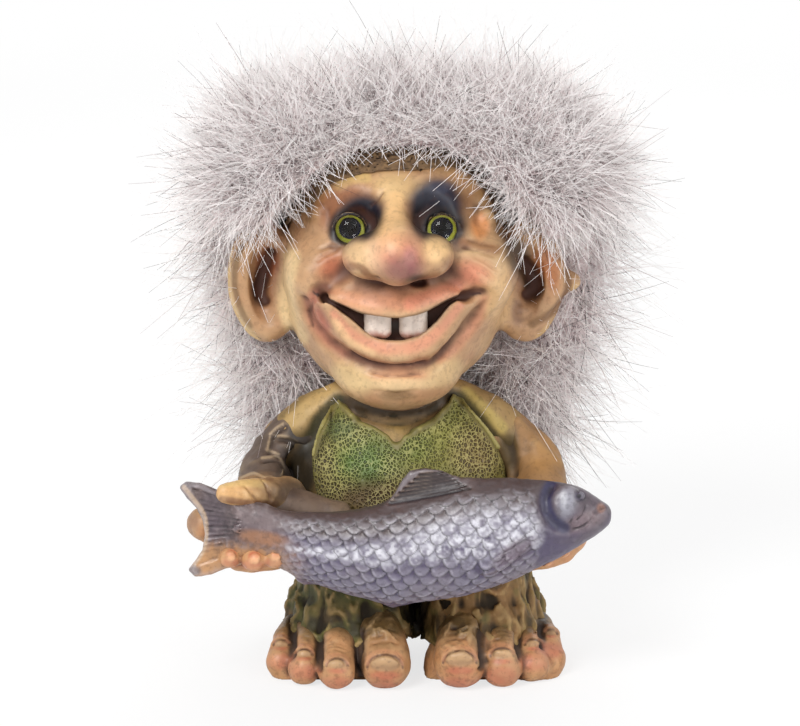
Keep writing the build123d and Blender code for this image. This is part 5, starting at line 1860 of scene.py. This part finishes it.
def shapeFur():
    # where the roots lie
    clay = Clay((-44, -20, 38), (44, 35, 128), furLook["baseCell"])
    for shape in furForm(furLook["inset"]):
        clay.add(shape, 3.0)
    clay.cut(limb([(-3, -40, 88.0), (-3, -5, 88.0)], 27.8), 1.0)
    clay.cut(limb([(-9.5, -40, 88.0), (-9.5, -4, 88.0)], 24.0), 1.0)
    clay.cut(limb([(5.5, -40, 90.0), (5.5, -4, 90.0)], 25.0), 1.0)
    # nothing grows before the ears
    x, y, z = clay.grid()[1:]
    clay.field = np.maximum(clay.field, -np.maximum(z - np.where(x < 0, 99.0, 96.0), y - 8.0))
    clay.roughen((0.8, 7.0, 81))
    return clay


def combFur(points):
    # the way and the length of the fur: outward, then down, and aside round the face and ears
    x, y, z = points.T
    radial = points - np.array([0, 4, 90])
    radial /= np.linalg.norm(radial, axis=1, keepdims=True)
    fall = 1 - smooth(z, 84, 116)
    comb = radial * (1 - 0.5 * fall)[:, None] + np.stack([0 * fall, 0.1 * fall, -0.9 * fall], -1)
    nearFace = (1 - smooth(np.hypot(x - headPlace[0], z - 86.5), 27, 36)) * (y < 2)
    comb += radial * nearFace[:, None] * 1.2 + np.stack([0 * fall, -0.3 * nearFace, 0.2 * nearFace], -1)
    comb /= np.linalg.norm(comb, axis=1, keepdims=True)
    comb *= 1 + 2.2 * nearFace[:, None]
    byEar = (1 - smooth(z, 96, 104)) * smooth(z, 66, 74) * (1 - smooth(y, 4, 12))
    comb += np.stack([0 * fall, 2.5 * byEar, 0 * fall], -1)
    lengths = (0.85 + 0.3 * fall - 0.35 * nearFace + 0.2 * lumps(x, y, z, 9.0, 82)) * (1 - 0.7 * byEar)
    return comb, lengths


def makeFur():
    points, normals, quads = surfaceOf(shapeFur())
    # nor inside the castings
    inHead = levelForm(headPlace, headSize, headLevels, 0.9)[0](*points.T) < 0
    inBody = levelForm(torsoPlace, torsoSize, torsoLevels, 1.5)[0](*points.T) < 0
    centre = points[quads].mean(1)
    bare = inHead[quads].any(1) | inBody[quads].any(1)
    comb, lengths = combFur(points)
    undercoat = makeMesh("furUndercoat", points, quads[~bare])
    undercoat.data.materials.append(fluffy("furUndercoat", coatLook))
    dressed(undercoat, "fur_wig")

    def patch(name, mask):
        chosen = quads[mask & ~bare]
        used, local = np.unique(chosen, return_inverse=True)
        base = makeMesh(name, points[used], local.reshape(-1, 4))
        keepValues(base, "comb", comb[used])
        keepValues(base, "furLength", lengths[used])
        mesh = base.data
        area = sum(polygon.area for polygon in mesh.polygons)
        bpy.data.objects.remove(base)
        return mesh, area

    soft = furMaterial("softFur", furLook["root"], furLook["tip"], furLook["dark"], 0.07)
    guard = furMaterial("guardHair", furLook["guard"], furLook["guard"], furLook["guard"], 0.0)
    high, right, front, fore = centre[:, 2] > 104, centre[:, 0] < 0, centre[:, 1] < 6, centre[:, 1] < 18
    regions = {
        "crownFrontRight": (high & front & right, 0.145), "crownFrontLeft": (high & front & ~right, 0.145),
        "crownBackRight": (high & ~front & right, 0.1), "crownBackLeft": (high & ~front & ~right, 0.1),
        "rightLocks": (~high & fore & right, 0.12), "leftLocks": (~high & fore & ~right, 0.12),
        "napeRight": (~high & ~fore & right, 0.12), "napeLeft": (~high & ~fore & ~right, 0.12),
    }
    for number, (name, (mask, share)) in enumerate(regions.items()):
        mesh, area = patch(name + "Patch", mask)
        density = share * furLook["strands"] / area
        growFur(name, mesh, strandLook, Density=density, Seed=3 + number * 101, Material=soft)
    mesh, area = patch("guardPatch", centre[:, 2] > 0)
    growFur("guardHairs", mesh, guardLook, Density=furLook["guardHairs"] / area, Seed=977, Material=guard)
    print("fur done")


def makeHide():
    # the hide shows as a brown edge over the brow
    cap = Clay((-34, -27, 74), (30, 28, 121), hideLook["cell"])
    cap.add(levelForm(headPlace, headSize, headLevels, 1.1), 0.1)
    cap.cut(levelForm(headPlace, headSize, headLevels, 0.1), 0.1)
    brow = [
        (300, 420), (306, 232), (316, 205), (334, 184), (362, 174), (395, 170), (436, 170), (468, 180),
        (488, 204), (502, 240), (508, 420),
    ]
    cap.cut(sightCut(brow, -40, 1, (-34, -28, 60), (30, 2, 122)), 0.4)
    x, y, z = cap.grid()[1:]
    cap.field = np.maximum(cap.field, 111.6 - 0.68 * (y + 23) - z)
    points, normals, quads = surfaceOf(cap)
    piece = makeMesh("wigHide", points, quads)
    piece.data.materials.append(fluffy("rawHide", hideLook))
    dressed(piece, "wig_hide")
    print("hide done")


makeFur()
makeHide()

# stage: pale floor and soft studio light
stageLook = {
    "floorReach": 6000, "floorColour": (243, 243, 243), "floorGlow": 0.75,
    "world": 0.42, "aim": (0, 0, 0.07),
    "key": (-0.45, -0.75, 0.75), "keyPower": 9.0, "keySize": 0.45,
    "fill": (0.65, -0.6, 0.35), "fillPower": 3.0, "fillSize": 0.6,
    "back": (0.1, 0.7, 0.8), "backPower": 5.0, "backSize": 0.6,
}


def makeStage():
    reach = stageLook["floorReach"]
    corners = [(-reach, -reach, 0), (reach, -reach, 0), (reach, reach, 0), (-reach, reach, 0)]
    floor = makeMesh("floor", corners, [(0, 1, 2, 3)])
    floor.location.z = -0.1 * mm
    material, tree, shader, place = newMaterial("paleFloor")
    shader.inputs["Base Color"].default_value = shade(stageLook["floorColour"])
    shader.inputs["Roughness"].default_value = 0.9
    shader.inputs["Specular IOR Level"].default_value = 0.1
    path = tree.nodes.new("ShaderNodeLightPath")
    glow = addNode(tree, "ShaderNodeEmission", {"Color": (1, 1, 1, 1), "Strength": 1.0})
    mix = tree.nodes.new("ShaderNodeMixShader")
    # towards the horizon the floor shows white
    far = vectorMaths(tree, "LENGTH", place, output="Value")
    white = maths(tree, "MAXIMUM", ramped(tree, far, 0.25, 0.9), stageLook["floorGlow"])
    link(tree, maths(tree, "MULTIPLY", path.outputs["Is Camera Ray"], white), mix.inputs[0])
    link(tree, shader.outputs[0], mix.inputs[1])
    link(tree, glow.outputs[0], mix.inputs[2])
    link(tree, mix.outputs[0], tree.nodes["Material Output"].inputs[0])
    floor.data.materials.append(material)
    world = bpy.data.worlds.new("studio")
    bpy.context.scene.world = world
    world.use_nodes = True
    tree = world.node_tree
    path = tree.nodes.new("ShaderNodeLightPath")
    seen = maths(tree, "MAXIMUM", path.outputs["Is Glossy Ray"], path.outputs["Is Transmission Ray"])
    seen = maths(tree, "MAXIMUM", path.outputs["Is Camera Ray"], seen)
    strength = maths(tree, "ADD", maths(tree, "MULTIPLY", seen, 1 - stageLook["world"]), stageLook["world"])
    background = tree.nodes["Background"]
    background.inputs["Color"].default_value = (1, 1, 1, 1)
    link(tree, strength, background.inputs["Strength"])
    for name in ("key", "fill", "back"):
        lamp = placed(name, bpy.data.lights.new(name, "AREA"))
        lamp.data.energy = stageLook[name + "Power"]
        lamp.data.size = stageLook[name + "Size"]
        lamp.location = stageLook[name]
        aim = Vector(stageLook["aim"]) - lamp.location
        lamp.rotation_euler = aim.to_track_quat("-Z", "Y").to_euler()
    bpy.context.scene.view_settings.view_transform = "Standard"
    print("stage done")


makeStage()
